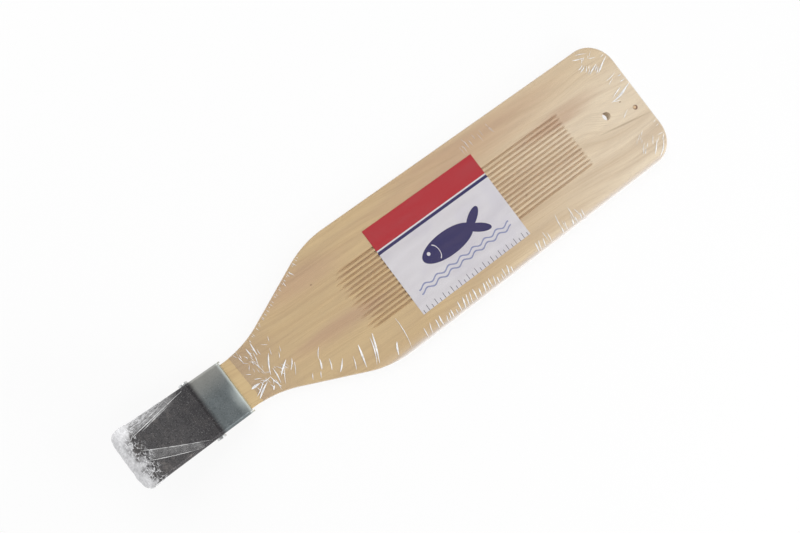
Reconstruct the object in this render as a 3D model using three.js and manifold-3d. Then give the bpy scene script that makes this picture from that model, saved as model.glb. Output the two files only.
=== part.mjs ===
// Fish fillet board: a grooved wooden paddle with a sprung sheet-metal clamp on its handle.
// Millimetres, +Z up. The origin is the middle of the wood's underside, and +X points to the free end.

import * as THREE from 'three';
import { mergeVertices } from 'three/addons/utils/BufferGeometryUtils.js';
import Module from 'manifold-3d';

const wasm = await Module();
wasm.setup();

// Wooden paddle
const BOARD_LENGTH = 558.8;
const BOARD_WIDTH = 139.7;
const BOARD_THICKNESS = 9.5;
const BOARD_EDGE_ROUND = 1.5;
const END_CORNER_RADIUS = 30;
const TAPER_LENGTH = 101;
const SHOULDER_RADIUS = 105;
const NECK_FROM_HANDLE_END = 82.4;
const NECK_RADIUS = 110;
const HANDLE_WIDTH = 47.7;
const HANDLE_CORNER_RADIUS = 5;

// Hanging hole near the free end
const HANG_HOLE_DIAMETER = 8.8;
const HANG_HOLE_FROM_END = 45;
const HANG_HOLE_OFF_CENTRE = 1.7;

// Field of lengthwise grooves in the top face
const GROOVE_COUNT = 14;
const GROOVE_PITCH = 4.6;
const GROOVE_WIDTH = 2.8;
const GROOVE_DEPTH = 1.5;
const GROOVE_FIELD_FROM_END = 88.4;
const GROOVE_FIELD_PAST_SHOULDER = 1.4;
const GROOVE_FIELD_OFF_CENTRE = 1.4;
const GROOVE_CLAMP_RUNOUT = 14;
const GROOVE_END_RUNOUT = 5;
const GROOVE_RUNOUT_STEPS = 4;
const GROOVE_SECTION_STEPS = 6;

// Paper label on the top face
const LABEL_LENGTH = 135;
const LABEL_WIDTH = 96;
const LABEL_THICKNESS = 0.25;
const LABEL_FROM_END = 189.2;
const LABEL_OFF_CENTRE = 1.4;

// Clamp base, a channel of sheet steel with two ears
const BASE_SHEET = 1.5;
const BASE_OVERHANG = 1.35;
const BASE_BEND_RADIUS = 2.5;
const BASE_BEHIND_PIVOT = 18.7;
const BASE_AHEAD_OF_PIVOT = 18;
const BASE_WALL_HEIGHT = 4;
const BASE_CORNER_RADIUS = 2;
const EAR_RADIUS = 6;
const EAR_FOOT = 13;

// Clamp lever, one pressing with a jaw plate in front of the pivot and a thumb plate behind it
const LEVER_SHEET = 1.4;
const LEVER_BEND_RADIUS = 3;
const JAW_SLOPE = THREE.MathUtils.degToRad(18);
const THUMB_SLOPE = THREE.MathUtils.degToRad(24);
const PIVOT_FROM_HANDLE_END = 20.4;
const JAW_REACH = 36;
const THUMB_REACH = 76;
const FLANGE_LOBE_RADIUS = 7;
const FLANGE_TIP_PAST_LIP = 1.4;
const FLANGE_TAPER_LENGTH = 30;
const THUMB_FLANGE_DEPTH = 4.4;
const THUMB_ROLL_RADIUS = 8;
const THUMB_ROLL_ANGLE = THREE.MathUtils.degToRad(90);
const THUMB_CORNER_RADIUS = 8;
const THUMB_ROLL_STEPS = 8;

// Toothed lip at the front of the jaw
const LIP_BEND_RADIUS = 4;
const LIP_LEAN = THREE.MathUtils.degToRad(8);
const TOOTH_PITCH = 5;
const TOOTH_DEPTH = 2.4;
const TOOTH_TIP = 0.8;

// Pivot pin
const PIN_DIAMETER = 6;
const PIN_HEAD_DIAMETER = 9;
const PIN_HEAD_THICKNESS = 2;
const PIN_HEAD_CHAMFER = 0.7;

// Torsion spring round the pin
const WIRE_DIAMETER = 2.5;
const COIL_DIAMETER = 11;
const COIL_TURNS = 6;
const COIL_PITCH = 3.1;
const BASE_LEG_LENGTH = 16;
const LEVER_LEG_LENGTH = 26;
const COIL_STEPS_PER_TURN = 8;
const WIRE_SIDES = 5;

// Rivets through the clamp base and the wood, clinched on washers in counterbores underneath
const RIVET_SHANK_DIAMETER = 4.5;
const RIVET_HEAD_DIAMETER = 8;
const RIVET_HEAD_HEIGHT = 1.8;
const RIVET_TAIL_DIAMETER = 7;
const RIVET_TAIL_HEIGHT = 1.4;
const FRONT_RIVETS_AHEAD_OF_PIVOT = 12;
const FRONT_RIVETS_APART = 28;
const REAR_RIVET_BEHIND_PIVOT = 11;
const WASHER_DIAMETER = 10;
const WASHER_THICKNESS = 0.8;
const COUNTERBORE_DEPTH = 3;

// Clearances and the fineness of round forms
const SEAT_GAP = 0.3;
const SIDE_CLEARANCE = 0.4;
const HOLE_CLEARANCE = 0.2;
const COUNTERBORE_CLEARANCE = 0.6;
const LIP_RELIEF = 0.5;
const CUT_MARGIN = 2;
const ROUND_SEGMENTS = 24;
const ARC_DIVISIONS = 6;
const BEND_DIVISIONS = 4;
const DOME_STEPS = 4;

// Places that follow from the sizes
const halfLength = BOARD_LENGTH / 2;
const neckX = -halfLength + NECK_FROM_HANDLE_END;
const shoulderX = neckX + TAPER_LENGTH;
const woodTop = BOARD_THICKNESS;
const baseTop = woodTop + BASE_SHEET;
const wireRadius = WIRE_DIAMETER / 2;
const coilRadius = COIL_DIAMETER / 2;
const coilOuterRadius = coilRadius + wireRadius;
const pin = new THREE.Vector2(
  -halfLength + PIVOT_FROM_HANDLE_END,
  baseTop + SEAT_GAP + coilOuterRadius,
);
const baseHalfWidth = HANDLE_WIDTH / 2 + BASE_OVERHANG;
const leverInnerHalf = baseHalfWidth + SIDE_CLEARANCE;
const leverOuterHalf = leverInnerHalf + LEVER_SHEET;
const leverUndersideRadius = coilOuterRadius + SEAT_GAP;
const leverTopRadius = leverUndersideRadius + LEVER_SHEET;

const materials = {
  wood: new THREE.MeshStandardMaterial({ color: '#d2b995', roughness: 0.62, metalness: 0 }),
  paper: new THREE.MeshStandardMaterial({ color: '#dcdade', roughness: 0.5, metalness: 0 }),
  zinc: new THREE.MeshStandardMaterial({ color: '#7d8686', roughness: 0.34, metalness: 1 }),
  springSteel: new THREE.MeshStandardMaterial({ color: '#6b6c6e', roughness: 0.3, metalness: 1 }),
  rivetSteel: new THREE.MeshStandardMaterial({ color: '#a3a6a6', roughness: 0.3, metalness: 1 }),
};

// A closed geometry as a solid for joining and cutting
function solidFrom(geometry) {
  const bare = geometry.clone();
  bare.deleteAttribute('normal');
  bare.deleteAttribute('uv');
  const merged = mergeVertices(bare);
  const corners = merged.index.array;
  const triangles = [];
  for (let i = 0; i < corners.length; i += 3) {
    const [a, b, c] = corners.slice(i, i + 3);
    if (a !== b && b !== c && c !== a) {
      triangles.push(a, b, c);
    }
  }
  return new wasm.Manifold(new wasm.Mesh({
    numProp: 3,
    vertProperties: new Float32Array(merged.attributes.position.array),
    triVerts: new Uint32Array(triangles),
  }));
}

function meshFrom(name, solid, material) {
  const { vertProperties, triVerts } = solid.getMesh();
  const geometry = new THREE.BufferGeometry();
  geometry.setAttribute('position', new THREE.BufferAttribute(vertProperties, 3));
  geometry.setIndex(new THREE.BufferAttribute(triVerts, 1));
  geometry.computeVertexNormals();
  const mesh = new THREE.Mesh(geometry, material.clone());
  mesh.name = name;
  return mesh;
}

// A polygon whose corners are rounded, each corner given as x, y and radius
function roundedShape(corners) {
  const shape = new THREE.Shape();
  corners.forEach(([x, y, radius], i) => {
    const corner = new THREE.Vector2(x, y);
    const [beforeX, beforeY] = corners[(i + corners.length - 1) % corners.length];
    const [afterX, afterY] = corners[(i + 1) % corners.length];
    const back = new THREE.Vector2(beforeX, beforeY).sub(corner).normalize();
    const on = new THREE.Vector2(afterX, afterY).sub(corner).normalize();
    const halfAngle = Math.acos(back.dot(on)) / 2;
    const reach = radius / Math.tan(halfAngle);
    const inward = back.clone().add(on).normalize();
    const centre = corner.clone().addScaledVector(inward, radius / Math.sin(halfAngle));
    const start = corner.clone().addScaledVector(back, reach).sub(centre);
    const end = corner.clone().addScaledVector(on, reach).sub(centre);
    shape.absarc(centre.x, centre.y, radius, start.angle(), end.angle(), start.cross(end) < 0);
  });
  shape.closePath();
  return shape;
}

// A side-view shape, drawn in X and Z, as a plate centred on the XZ plane
function sidePlate(shape, width, divisions = ARC_DIVISIONS) {
  const options = { depth: width, bevelEnabled: false, curveSegments: divisions };
  const geometry = new THREE.ExtrudeGeometry(shape, options);
  geometry.rotateX(Math.PI / 2);
  geometry.translate(0, width / 2, 0);
  return solidFrom(geometry);
}

// A round bar between two heights, standing at a place in plan
function uprightBar(x, y, radius, low, high) {
  const geometry = new THREE.CylinderGeometry(radius, radius, high - low, ROUND_SEGMENTS);
  geometry.rotateX(Math.PI / 2);
  geometry.translate(x, y, (low + high) / 2);
  return solidFrom(geometry);
}

// A closed skin over a row of sections, each a counter-clockwise outline with the matrix that places it
function loft(sections) {
  const size = sections[0].outline.length;
  const positions = [];
  const index = [];
  for (const { outline, matrix } of sections) {
    for (const point of outline) {
      positions.push(...new THREE.Vector3(point.x, point.y, 0).applyMatrix4(matrix).toArray());
    }
  }
  for (let k = 0; k < sections.length - 1; k += 1) {
    for (let i = 0; i < size; i += 1) {
      const next = (i + 1) % size;
      const a = k * size + i;
      const b = k * size + next;
      index.push(a, b, b + size, a, b + size, a + size);
    }
  }
  const last = (sections.length - 1) * size;
  for (const [a, b, c] of THREE.ShapeUtils.triangulateShape(sections[0].outline, [])) {
    index.push(a, c, b);
  }
  for (const [a, b, c] of THREE.ShapeUtils.triangulateShape(sections.at(-1).outline, [])) {
    index.push(last + a, last + b, last + c);
  }
  const geometry = new THREE.BufferGeometry();
  geometry.setAttribute('position', new THREE.Float32BufferAttribute(positions, 3));
  geometry.setIndex(index);
  return solidFrom(geometry);
}

// The upward normal and the forward direction, in X and Z, of a sheet that falls towards +X by an angle
function normalAt(slope) {
  return new THREE.Vector2(Math.sin(slope), Math.cos(slope));
}

function headingAt(slope) {
  return new THREE.Vector2(Math.cos(slope), -Math.sin(slope));
}

// Places a section across the part, so that its second axis is the sheet's upward normal
function sectionMatrix(place, slope) {
  const normal = normalAt(slope);
  const heading = headingAt(slope);
  const matrix = new THREE.Matrix4().makeBasis(
    new THREE.Vector3(0, 1, 0),
    new THREE.Vector3(normal.x, 0, normal.y),
    new THREE.Vector3(heading.x, 0, heading.y),
  );
  return matrix.setPosition(place.x, 0, place.y);
}

const rivetPlaces = [
  ['front_left', pin.x + FRONT_RIVETS_AHEAD_OF_PIVOT, FRONT_RIVETS_APART / 2],
  ['front_right', pin.x + FRONT_RIVETS_AHEAD_OF_PIVOT, -FRONT_RIVETS_APART / 2],
  ['rear', pin.x - REAR_RIVET_BEHIND_PIVOT, 0],
];

// Board

// A round-nosed cutter that dips into the wood at one end of a groove and lifts out at the other
function grooveCutter(y) {
  const fieldEnd = halfLength - GROOVE_FIELD_FROM_END;
  const fieldStart = shoulderX + GROOVE_FIELD_PAST_SHOULDER;
  const stations = [];
  for (let k = 0; k <= GROOVE_RUNOUT_STEPS; k += 1) {
    const share = k / GROOVE_RUNOUT_STEPS;
    stations.push([fieldStart + share * GROOVE_CLAMP_RUNOUT, 1 - (1 - share) ** 2]);
  }
  for (let k = GROOVE_RUNOUT_STEPS; k >= 0; k -= 1) {
    const share = k / GROOVE_RUNOUT_STEPS;
    stations.push([fieldEnd - share * GROOVE_END_RUNOUT, 1 - (1 - share) ** 2]);
  }
  return loft(stations.map(([x, share]) => {
    const half = GROOVE_WIDTH / 2;
    const outline = [new THREE.Vector2(half, CUT_MARGIN), new THREE.Vector2(-half, CUT_MARGIN)];
    for (let i = 0; i <= GROOVE_SECTION_STEPS; i += 1) {
      const angle = Math.PI * (1 + i / GROOVE_SECTION_STEPS);
      const depth = share * GROOVE_DEPTH * Math.sin(angle);
      outline.push(new THREE.Vector2(half * Math.cos(angle), depth));
    }
    const matrix = sectionMatrix(new THREE.Vector2(x, woodTop), 0);
    return { outline, matrix: matrix.premultiply(new THREE.Matrix4().makeTranslation(0, y, 0)) };
  }));
}

function buildBoard() {
  const halfWidth = BOARD_WIDTH / 2;
  const halfHandle = HANDLE_WIDTH / 2;
  const outline = roundedShape([
    [halfLength, -halfWidth, END_CORNER_RADIUS],
    [halfLength, halfWidth, END_CORNER_RADIUS],
    [shoulderX, halfWidth, SHOULDER_RADIUS],
    [neckX, halfHandle, NECK_RADIUS],
    [-halfLength, halfHandle, HANDLE_CORNER_RADIUS],
    [-halfLength, -halfHandle, HANDLE_CORNER_RADIUS],
    [neckX, -halfHandle, NECK_RADIUS],
    [shoulderX, -halfWidth, SHOULDER_RADIUS],
  ]);
  const blank = new THREE.ExtrudeGeometry(outline, {
    depth: BOARD_THICKNESS - 2 * BOARD_EDGE_ROUND,
    bevelThickness: BOARD_EDGE_ROUND,
    bevelSize: BOARD_EDGE_ROUND,
    bevelOffset: -BOARD_EDGE_ROUND,
    bevelSegments: BEND_DIVISIONS,
    curveSegments: ARC_DIVISIONS,
  });
  blank.translate(0, 0, BOARD_EDGE_ROUND);
  let board = solidFrom(blank);

  const holeX = halfLength - HANG_HOLE_FROM_END;
  const holeTop = woodTop + CUT_MARGIN;
  const holeRadius = HANG_HOLE_DIAMETER / 2;
  board = board.subtract(uprightBar(holeX, -HANG_HOLE_OFF_CENTRE, holeRadius, -CUT_MARGIN, holeTop));
  for (let i = 0; i < GROOVE_COUNT; i += 1) {
    const y = (i - (GROOVE_COUNT - 1) / 2) * GROOVE_PITCH - GROOVE_FIELD_OFF_CENTRE;
    board = board.subtract(grooveCutter(y));
  }
  const rivetHole = RIVET_SHANK_DIAMETER / 2 + HOLE_CLEARANCE;
  const counterbore = WASHER_DIAMETER / 2 + COUNTERBORE_CLEARANCE;
  for (const [, x, y] of rivetPlaces) {
    board = board.subtract(uprightBar(x, y, rivetHole, -CUT_MARGIN, holeTop));
    board = board.subtract(uprightBar(x, y, counterbore, -CUT_MARGIN, COUNTERBORE_DEPTH));
  }
  return meshFrom('board', board, materials.wood);
}

function buildLabel() {
  const sheet = new THREE.BoxGeometry(LABEL_LENGTH, LABEL_WIDTH, LABEL_THICKNESS);
  const x = halfLength - LABEL_FROM_END - LABEL_LENGTH / 2;
  sheet.translate(x, -LABEL_OFF_CENTRE, woodTop + LABEL_THICKNESS / 2);
  return meshFrom('paper_label', solidFrom(sheet), materials.paper);
}

// Clamp base

// A channel section, open upwards or downwards, drawn across the part as Y and height
function channelShape(outerHalf, sheet, depth, bendRadius, openUp) {
  const innerHalf = outerHalf - sheet;
  const innerBend = bendRadius - sheet;
  const shape = new THREE.Shape();
  const quarter = Math.PI / 2;
  shape.moveTo(-innerHalf, depth);
  shape.lineTo(-outerHalf, depth);
  shape.absarc(bendRadius - outerHalf, bendRadius, bendRadius, Math.PI, 3 * quarter, false);
  shape.absarc(outerHalf - bendRadius, bendRadius, bendRadius, 3 * quarter, 4 * quarter, false);
  shape.lineTo(outerHalf, depth);
  shape.lineTo(innerHalf, depth);
  shape.absarc(outerHalf - bendRadius, bendRadius, innerBend, 0, -quarter, true);
  shape.absarc(bendRadius - outerHalf, bendRadius, innerBend, -quarter, -2 * quarter, true);
  shape.closePath();
  const points = shape.getPoints(BEND_DIVISIONS).slice(0, -1);
  if (openUp) {
    return points;
  }
  return points.map((point) => new THREE.Vector2(-point.x, -point.y));
}

function buildClampBase() {
  const rearX = pin.x - BASE_BEHIND_PIVOT;
  const frontX = pin.x + BASE_AHEAD_OF_PIVOT;
  const wallTop = woodTop + BASE_WALL_HEIGHT;
  const depth = pin.y + EAR_RADIUS + CUT_MARGIN - woodTop;
  const outline = channelShape(baseHalfWidth, BASE_SHEET, depth, BASE_BEND_RADIUS, true);
  const channel = loft([rearX, frontX].map((x) => (
    { outline, matrix: sectionMatrix(new THREE.Vector2(x, woodTop), 0) }
  )));

  const foot = new THREE.Vector2(EAR_FOOT, wallTop - pin.y);
  const tangent = foot.angle() - 2 * Math.PI + Math.acos(EAR_RADIUS / foot.length());
  const side = new THREE.Shape();
  side.moveTo(rearX, woodTop);
  side.lineTo(frontX, woodTop);
  side.absarc(frontX - BASE_CORNER_RADIUS, wallTop - BASE_CORNER_RADIUS, BASE_CORNER_RADIUS,
    0, Math.PI / 2, false);
  side.lineTo(pin.x + EAR_FOOT, wallTop);
  side.absarc(pin.x, pin.y, EAR_RADIUS, tangent, Math.PI - tangent, false);
  side.lineTo(pin.x - EAR_FOOT, wallTop);
  side.absarc(rearX + BASE_CORNER_RADIUS, wallTop - BASE_CORNER_RADIUS, BASE_CORNER_RADIUS,
    Math.PI / 2, Math.PI, false);
  side.closePath();
  let base = channel.intersect(sidePlate(side, 2 * baseHalfWidth + CUT_MARGIN));

  base = base.subtract(crossBar(PIN_DIAMETER / 2 + HOLE_CLEARANCE, baseHalfWidth));
  const rivetHole = RIVET_SHANK_DIAMETER / 2 + HOLE_CLEARANCE;
  for (const [, x, y] of rivetPlaces) {
    base = base.subtract(uprightBar(x, y, rivetHole, woodTop - CUT_MARGIN, baseTop + CUT_MARGIN));
  }
  return meshFrom('clamp_base', base, materials.zinc);
}

// A round bar on the pivot axis that cuts a pin hole through both sides of a channel
function crossBar(radius, halfWidth) {
  const bar = new THREE.CylinderGeometry(radius, radius, 2 * (halfWidth + CUT_MARGIN), ROUND_SEGMENTS);
  bar.translate(pin.x, 0, pin.y);
  return solidFrom(bar);
}

// Clamp lever

// Where the top faces of the jaw plate and the thumb plate meet, over the pin
const bendSlope = (JAW_SLOPE + THUMB_SLOPE) / 2;
const bendReach = leverTopRadius / Math.cos((THUMB_SLOPE - JAW_SLOPE) / 2);
const bendPlace = pin.clone().addScaledVector(normalAt(bendSlope), bendReach);

// Where the lip's bend starts on the top face of the jaw plate
const lipStartX = pin.x + JAW_REACH - LIP_BEND_RADIUS * (1 - Math.sin(JAW_SLOPE));
const jawPlateLength = (lipStartX - bendPlace.x) / Math.cos(JAW_SLOPE);
const lipStart = bendPlace.clone().addScaledVector(headingAt(JAW_SLOPE), jawPlateLength);

// Where the roll at the end of the thumb plate starts
const rollEndSlope = THUMB_SLOPE - THUMB_ROLL_ANGLE;
const rollRun = THUMB_ROLL_RADIUS * (Math.sin(THUMB_SLOPE) - Math.sin(rollEndSlope));
const thumbPlateLength = (bendPlace.x - pin.x + THUMB_REACH - rollRun) / Math.cos(THUMB_SLOPE);
const rollStart = bendPlace.clone().addScaledVector(headingAt(THUMB_SLOPE), -thumbPlateLength);
const rollCentre = rollStart.clone().addScaledVector(normalAt(THUMB_SLOPE), -THUMB_ROLL_RADIUS);

function leverStations() {
  const deepFlange = leverTopRadius + FLANGE_LOBE_RADIUS + CUT_MARGIN;
  const stations = [];
  const rollLength = THUMB_ROLL_RADIUS * THUMB_ROLL_ANGLE;
  for (let k = THUMB_ROLL_STEPS; k >= 0; k -= 1) {
    const share = k / THUMB_ROLL_STEPS;
    const slope = THUMB_SLOPE - share * THUMB_ROLL_ANGLE;
    const intoCorner = Math.max(0, THUMB_CORNER_RADIUS - (1 - share) * rollLength);
    const inset = THUMB_CORNER_RADIUS - Math.sqrt(THUMB_CORNER_RADIUS ** 2 - intoCorner ** 2);
    const place = rollCentre.clone().addScaledVector(normalAt(slope), THUMB_ROLL_RADIUS);
    stations.push({ place, slope, halfWidth: leverOuterHalf - inset, depth: THUMB_FLANGE_DEPTH });
  }
  const along = (distance, slope) => bendPlace.clone().addScaledVector(headingAt(slope), distance);
  const plain = (place, slope, depth) => stations.push({ place, slope, halfWidth: leverOuterHalf, depth });
  plain(along(-FLANGE_LOBE_RADIUS - FLANGE_TAPER_LENGTH, THUMB_SLOPE), THUMB_SLOPE, THUMB_FLANGE_DEPTH);
  plain(along(-FLANGE_LOBE_RADIUS, THUMB_SLOPE), THUMB_SLOPE, deepFlange);
  plain(bendPlace, bendSlope, deepFlange);
  plain(along(jawPlateLength + deepFlange, JAW_SLOPE), JAW_SLOPE, deepFlange);
  return stations;
}

// The side view inside which the flanges stay: round under the pin, level under the jaw, raked in front
function flangeSideView() {
  const underside = pin.y - FLANGE_LOBE_RADIUS;
  const roof = rollStart.y + THUMB_ROLL_RADIUS + CUT_MARGIN;
  const rearSlope = normalAt(THUMB_SLOPE);
  const rear = pin.clone().addScaledVector(rearSlope, -FLANGE_LOBE_RADIUS);
  rear.addScaledVector(headingAt(THUMB_SLOPE), -2 * THUMB_REACH);
  const tipX = pin.x + JAW_REACH + FLANGE_TIP_PAST_LIP;
  const rake = (lipStart.x - tipX) / (lipStart.y - underside);
  const side = new THREE.Shape();
  side.moveTo(rear.x, roof + THUMB_REACH);
  side.lineTo(rear.x, rear.y);
  side.absarc(pin.x, pin.y, FLANGE_LOBE_RADIUS, -Math.PI / 2 - THUMB_SLOPE, -Math.PI / 2, false);
  side.lineTo(tipX, underside);
  side.lineTo(tipX + rake * (roof - underside), roof);
  side.closePath();
  return side;
}

// The lip in side view: the plate's last stretch, the bend and the straight run down to the tooth tips
function lipSideView() {
  const lipSlope = Math.PI / 2 + LIP_LEAN;
  const centre = lipStart.clone().addScaledVector(normalAt(JAW_SLOPE), -LIP_BEND_RADIUS);
  const innerRadius = LIP_BEND_RADIUS - LEVER_SHEET;
  const toothTip = woodTop + SEAT_GAP;
  const plateEnd = lipStart.clone().addScaledVector(headingAt(JAW_SLOPE), -CUT_MARGIN);
  const plateUnder = plateEnd.clone().addScaledVector(normalAt(JAW_SLOPE), -LEVER_SHEET);
  const runDown = (radius) => {
    const foot = centre.clone().addScaledVector(normalAt(lipSlope), radius);
    const length = (foot.y - toothTip) / Math.sin(lipSlope);
    return foot.addScaledVector(headingAt(lipSlope), length);
  };
  const outer = runDown(LIP_BEND_RADIUS);
  const inner = runDown(innerRadius);
  const from = Math.PI / 2 - JAW_SLOPE;
  const to = Math.PI / 2 - lipSlope;
  const side = new THREE.Shape();
  side.moveTo(plateUnder.x, plateUnder.y);
  side.lineTo(plateEnd.x, plateEnd.y);
  side.absarc(centre.x, centre.y, LIP_BEND_RADIUS, from, to, true);
  side.lineTo(outer.x, outer.y);
  side.lineTo(inner.x, inner.y);
  side.absarc(centre.x, centre.y, innerRadius, to, from, false);
  side.closePath();
  return side;
}

// The lip, with a row of V notches between its teeth
function toothedLip() {
  const halfWidth = leverInnerHalf - LIP_RELIEF;
  let lip = sidePlate(lipSideView(), 2 * halfWidth, BEND_DIVISIONS);
  const toothCount = Math.floor((2 * halfWidth - TOOTH_TIP) / TOOTH_PITCH);
  const halfMouth = (TOOTH_PITCH - TOOTH_TIP) / 2;
  const bottom = woodTop;
  const notch = new THREE.Shape();
  notch.moveTo(-halfMouth, bottom);
  notch.lineTo(halfMouth, bottom);
  notch.lineTo(0, woodTop + SEAT_GAP + TOOTH_DEPTH);
  notch.closePath();
  const reach = 2 * LIP_BEND_RADIUS;
  for (let i = 0; i < toothCount; i += 1) {
    const prism = new THREE.ExtrudeGeometry(notch, { depth: 2 * reach, bevelEnabled: false });
    prism.rotateX(Math.PI / 2);
    prism.rotateZ(Math.PI / 2);
    prism.translate(lipStart.x - reach, (i - (toothCount - 1) / 2) * TOOTH_PITCH, 0);
    lip = lip.subtract(solidFrom(prism));
  }
  return lip;
}

function buildLever() {
  const pressing = loft(leverStations().map(({ place, slope, halfWidth, depth }) => (
    {
      outline: channelShape(halfWidth, LEVER_SHEET, depth, LEVER_BEND_RADIUS, false),
      matrix: sectionMatrix(place, slope),
    }
  )));
  const trimmed = pressing.intersect(sidePlate(flangeSideView(), 2 * leverOuterHalf + CUT_MARGIN));

  // The plate between the flanges ends where the lip's bend starts
  const ahead = headingAt(JAW_SLOPE).multiplyScalar(2 * JAW_REACH);
  const up = normalAt(JAW_SLOPE).multiplyScalar(CUT_MARGIN);
  const window = new THREE.Shape();
  const low = lipStart.clone().addScaledVector(normalAt(JAW_SLOPE), -LEVER_BEND_RADIUS);
  window.moveTo(low.x, low.y);
  window.lineTo(low.x + ahead.x, low.y + ahead.y);
  window.lineTo(lipStart.x + up.x + ahead.x, lipStart.y + up.y + ahead.y);
  window.lineTo(lipStart.x + up.x, lipStart.y + up.y);
  window.closePath();

  let lever = trimmed.subtract(sidePlate(window, 2 * leverInnerHalf)).add(toothedLip());
  lever = lever.subtract(crossBar(PIN_DIAMETER / 2 + HOLE_CLEARANCE, leverOuterHalf));
  return meshFrom('jaw_lever', lever, materials.zinc);
}

// Pin, rivets and washers

function revolve(profile) {
  const points = profile.map(([radius, height]) => new THREE.Vector2(radius, height));
  return new THREE.LatheGeometry(points, ROUND_SEGMENTS);
}

function buildPin() {
  const shank = PIN_DIAMETER / 2;
  const head = PIN_HEAD_DIAMETER / 2;
  const seat = leverOuterHalf + SEAT_GAP;
  const end = seat + PIN_HEAD_THICKNESS;
  const geometry = revolve([
    [0, -end],
    [head - PIN_HEAD_CHAMFER, -end],
    [head, -end + PIN_HEAD_CHAMFER],
    [head, -seat],
    [shank, -seat],
    [shank, seat],
    [head, seat],
    [head, end - PIN_HEAD_CHAMFER],
    [head - PIN_HEAD_CHAMFER, end],
    [0, end],
  ]);
  geometry.translate(pin.x, 0, pin.y);
  return meshFrom('pivot_pin', solidFrom(geometry), materials.rivetSteel);
}

// Points of a domed head from its rim to its crown, or from crown to rim when height is negative
function dome(radius, base, height) {
  const points = [];
  for (let k = 0; k <= DOME_STEPS; k += 1) {
    const angle = (k / DOME_STEPS) * (Math.PI / 2);
    points.push([radius * Math.cos(angle), base + height * Math.sin(angle)]);
  }
  points[DOME_STEPS][0] = 0;
  return points;
}

function buildRivet(name, x, y) {
  const shank = RIVET_SHANK_DIAMETER / 2;
  const washerUnder = COUNTERBORE_DEPTH - WASHER_THICKNESS;
  const geometry = revolve([
    ...dome(RIVET_TAIL_DIAMETER / 2, washerUnder, -RIVET_TAIL_HEIGHT).reverse(),
    [shank, washerUnder],
    [shank, baseTop],
    ...dome(RIVET_HEAD_DIAMETER / 2, baseTop, RIVET_HEAD_HEIGHT),
  ]);
  geometry.rotateX(Math.PI / 2);
  geometry.translate(x, y, 0);
  return meshFrom(`rivet_${name}`, solidFrom(geometry), materials.rivetSteel);
}

function buildWasher(name, x, y) {
  const inner = RIVET_SHANK_DIAMETER / 2 + HOLE_CLEARANCE;
  const outer = WASHER_DIAMETER / 2;
  const low = COUNTERBORE_DEPTH - WASHER_THICKNESS;
  const geometry = revolve([
    [inner, low],
    [outer, low],
    [outer, COUNTERBORE_DEPTH],
    [inner, COUNTERBORE_DEPTH],
    [inner, low],
  ]);
  geometry.rotateX(Math.PI / 2);
  geometry.translate(x, y, 0);
  return meshFrom(`washer_${name}`, solidFrom(geometry), materials.rivetSteel);
}

// Torsion spring

// The middle of the wire: along the base plate, round the pin, then along the thumb plate's underside
function springPath() {
  const turned = COIL_TURNS * 2 * Math.PI + Math.PI - THUMB_SLOPE;
  const steps = Math.round((turned / (2 * Math.PI)) * COIL_STEPS_PER_TURN);
  const width = COIL_PITCH * (turned / (2 * Math.PI));
  const path = [];
  for (let k = 0; k <= steps; k += 1) {
    const angle = -Math.PI / 2 + (k / steps) * turned;
    path.push(new THREE.Vector3(
      pin.x + coilRadius * Math.cos(angle),
      (k / steps - 1 / 2) * width,
      pin.y + coilRadius * Math.sin(angle),
    ));
  }
  const baseEnd = path[0].clone().add(new THREE.Vector3(-BASE_LEG_LENGTH, 0, 0));
  const away = headingAt(THUMB_SLOPE).multiplyScalar(-LEVER_LEG_LENGTH);
  const leverEnd = path.at(-1).clone().add(new THREE.Vector3(away.x, 0, away.y));
  return [baseEnd, ...path, leverEnd];
}

// The least space between stretches of wire that lie at least half a turn apart
function leastGap(path) {
  let least = Infinity;
  for (let i = 0; i < path.length; i += 1) {
    for (let j = i + COIL_STEPS_PER_TURN / 2; j < path.length; j += 1) {
      least = Math.min(least, path[i].distanceTo(path[j]) - WIRE_DIAMETER);
    }
  }
  return least;
}

function buildSpring() {
  const path = springPath();
  const across = new THREE.Vector3(0, 1, 0);
  const ring = [];
  for (let i = 0; i < WIRE_SIDES; i += 1) {
    const angle = (i / WIRE_SIDES) * 2 * Math.PI;
    ring.push(new THREE.Vector2(wireRadius * Math.cos(angle), wireRadius * Math.sin(angle)));
  }
  const sections = path.map((point, i) => {
    const before = path[Math.max(0, i - 1)];
    const after = path[Math.min(path.length - 1, i + 1)];
    const along = after.clone().sub(before).normalize();
    const outward = along.clone().cross(across).normalize();
    const sideways = outward.clone().cross(along);
    const matrix = new THREE.Matrix4().makeBasis(sideways, outward, along);
    return { outline: ring, matrix: matrix.setPosition(point) };
  });
  console.log(`torsion_spring: least gap between turns ${leastGap(path).toFixed(2)} mm`);
  return meshFrom('torsion_spring', loft(sections), materials.springSteel);
}

const filletBoard = new THREE.Group();
filletBoard.add(buildBoard(), buildLabel(), buildClampBase(), buildLever(), buildPin(), buildSpring());
for (const [name, x, y] of rivetPlaces) {
  filletBoard.add(buildRivet(name, x, y), buildWasher(name, x, y));
}

export default filletBoard;
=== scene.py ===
"""Fish fillet board: a grooved wooden paddle with a label and a sprung steel clamp on its handle."""

import math
import random

import bmesh
import bpy
from bpy.props import FloatProperty, FloatVectorProperty, IntProperty, PointerProperty
from mathutils import Matrix, Vector


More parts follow.
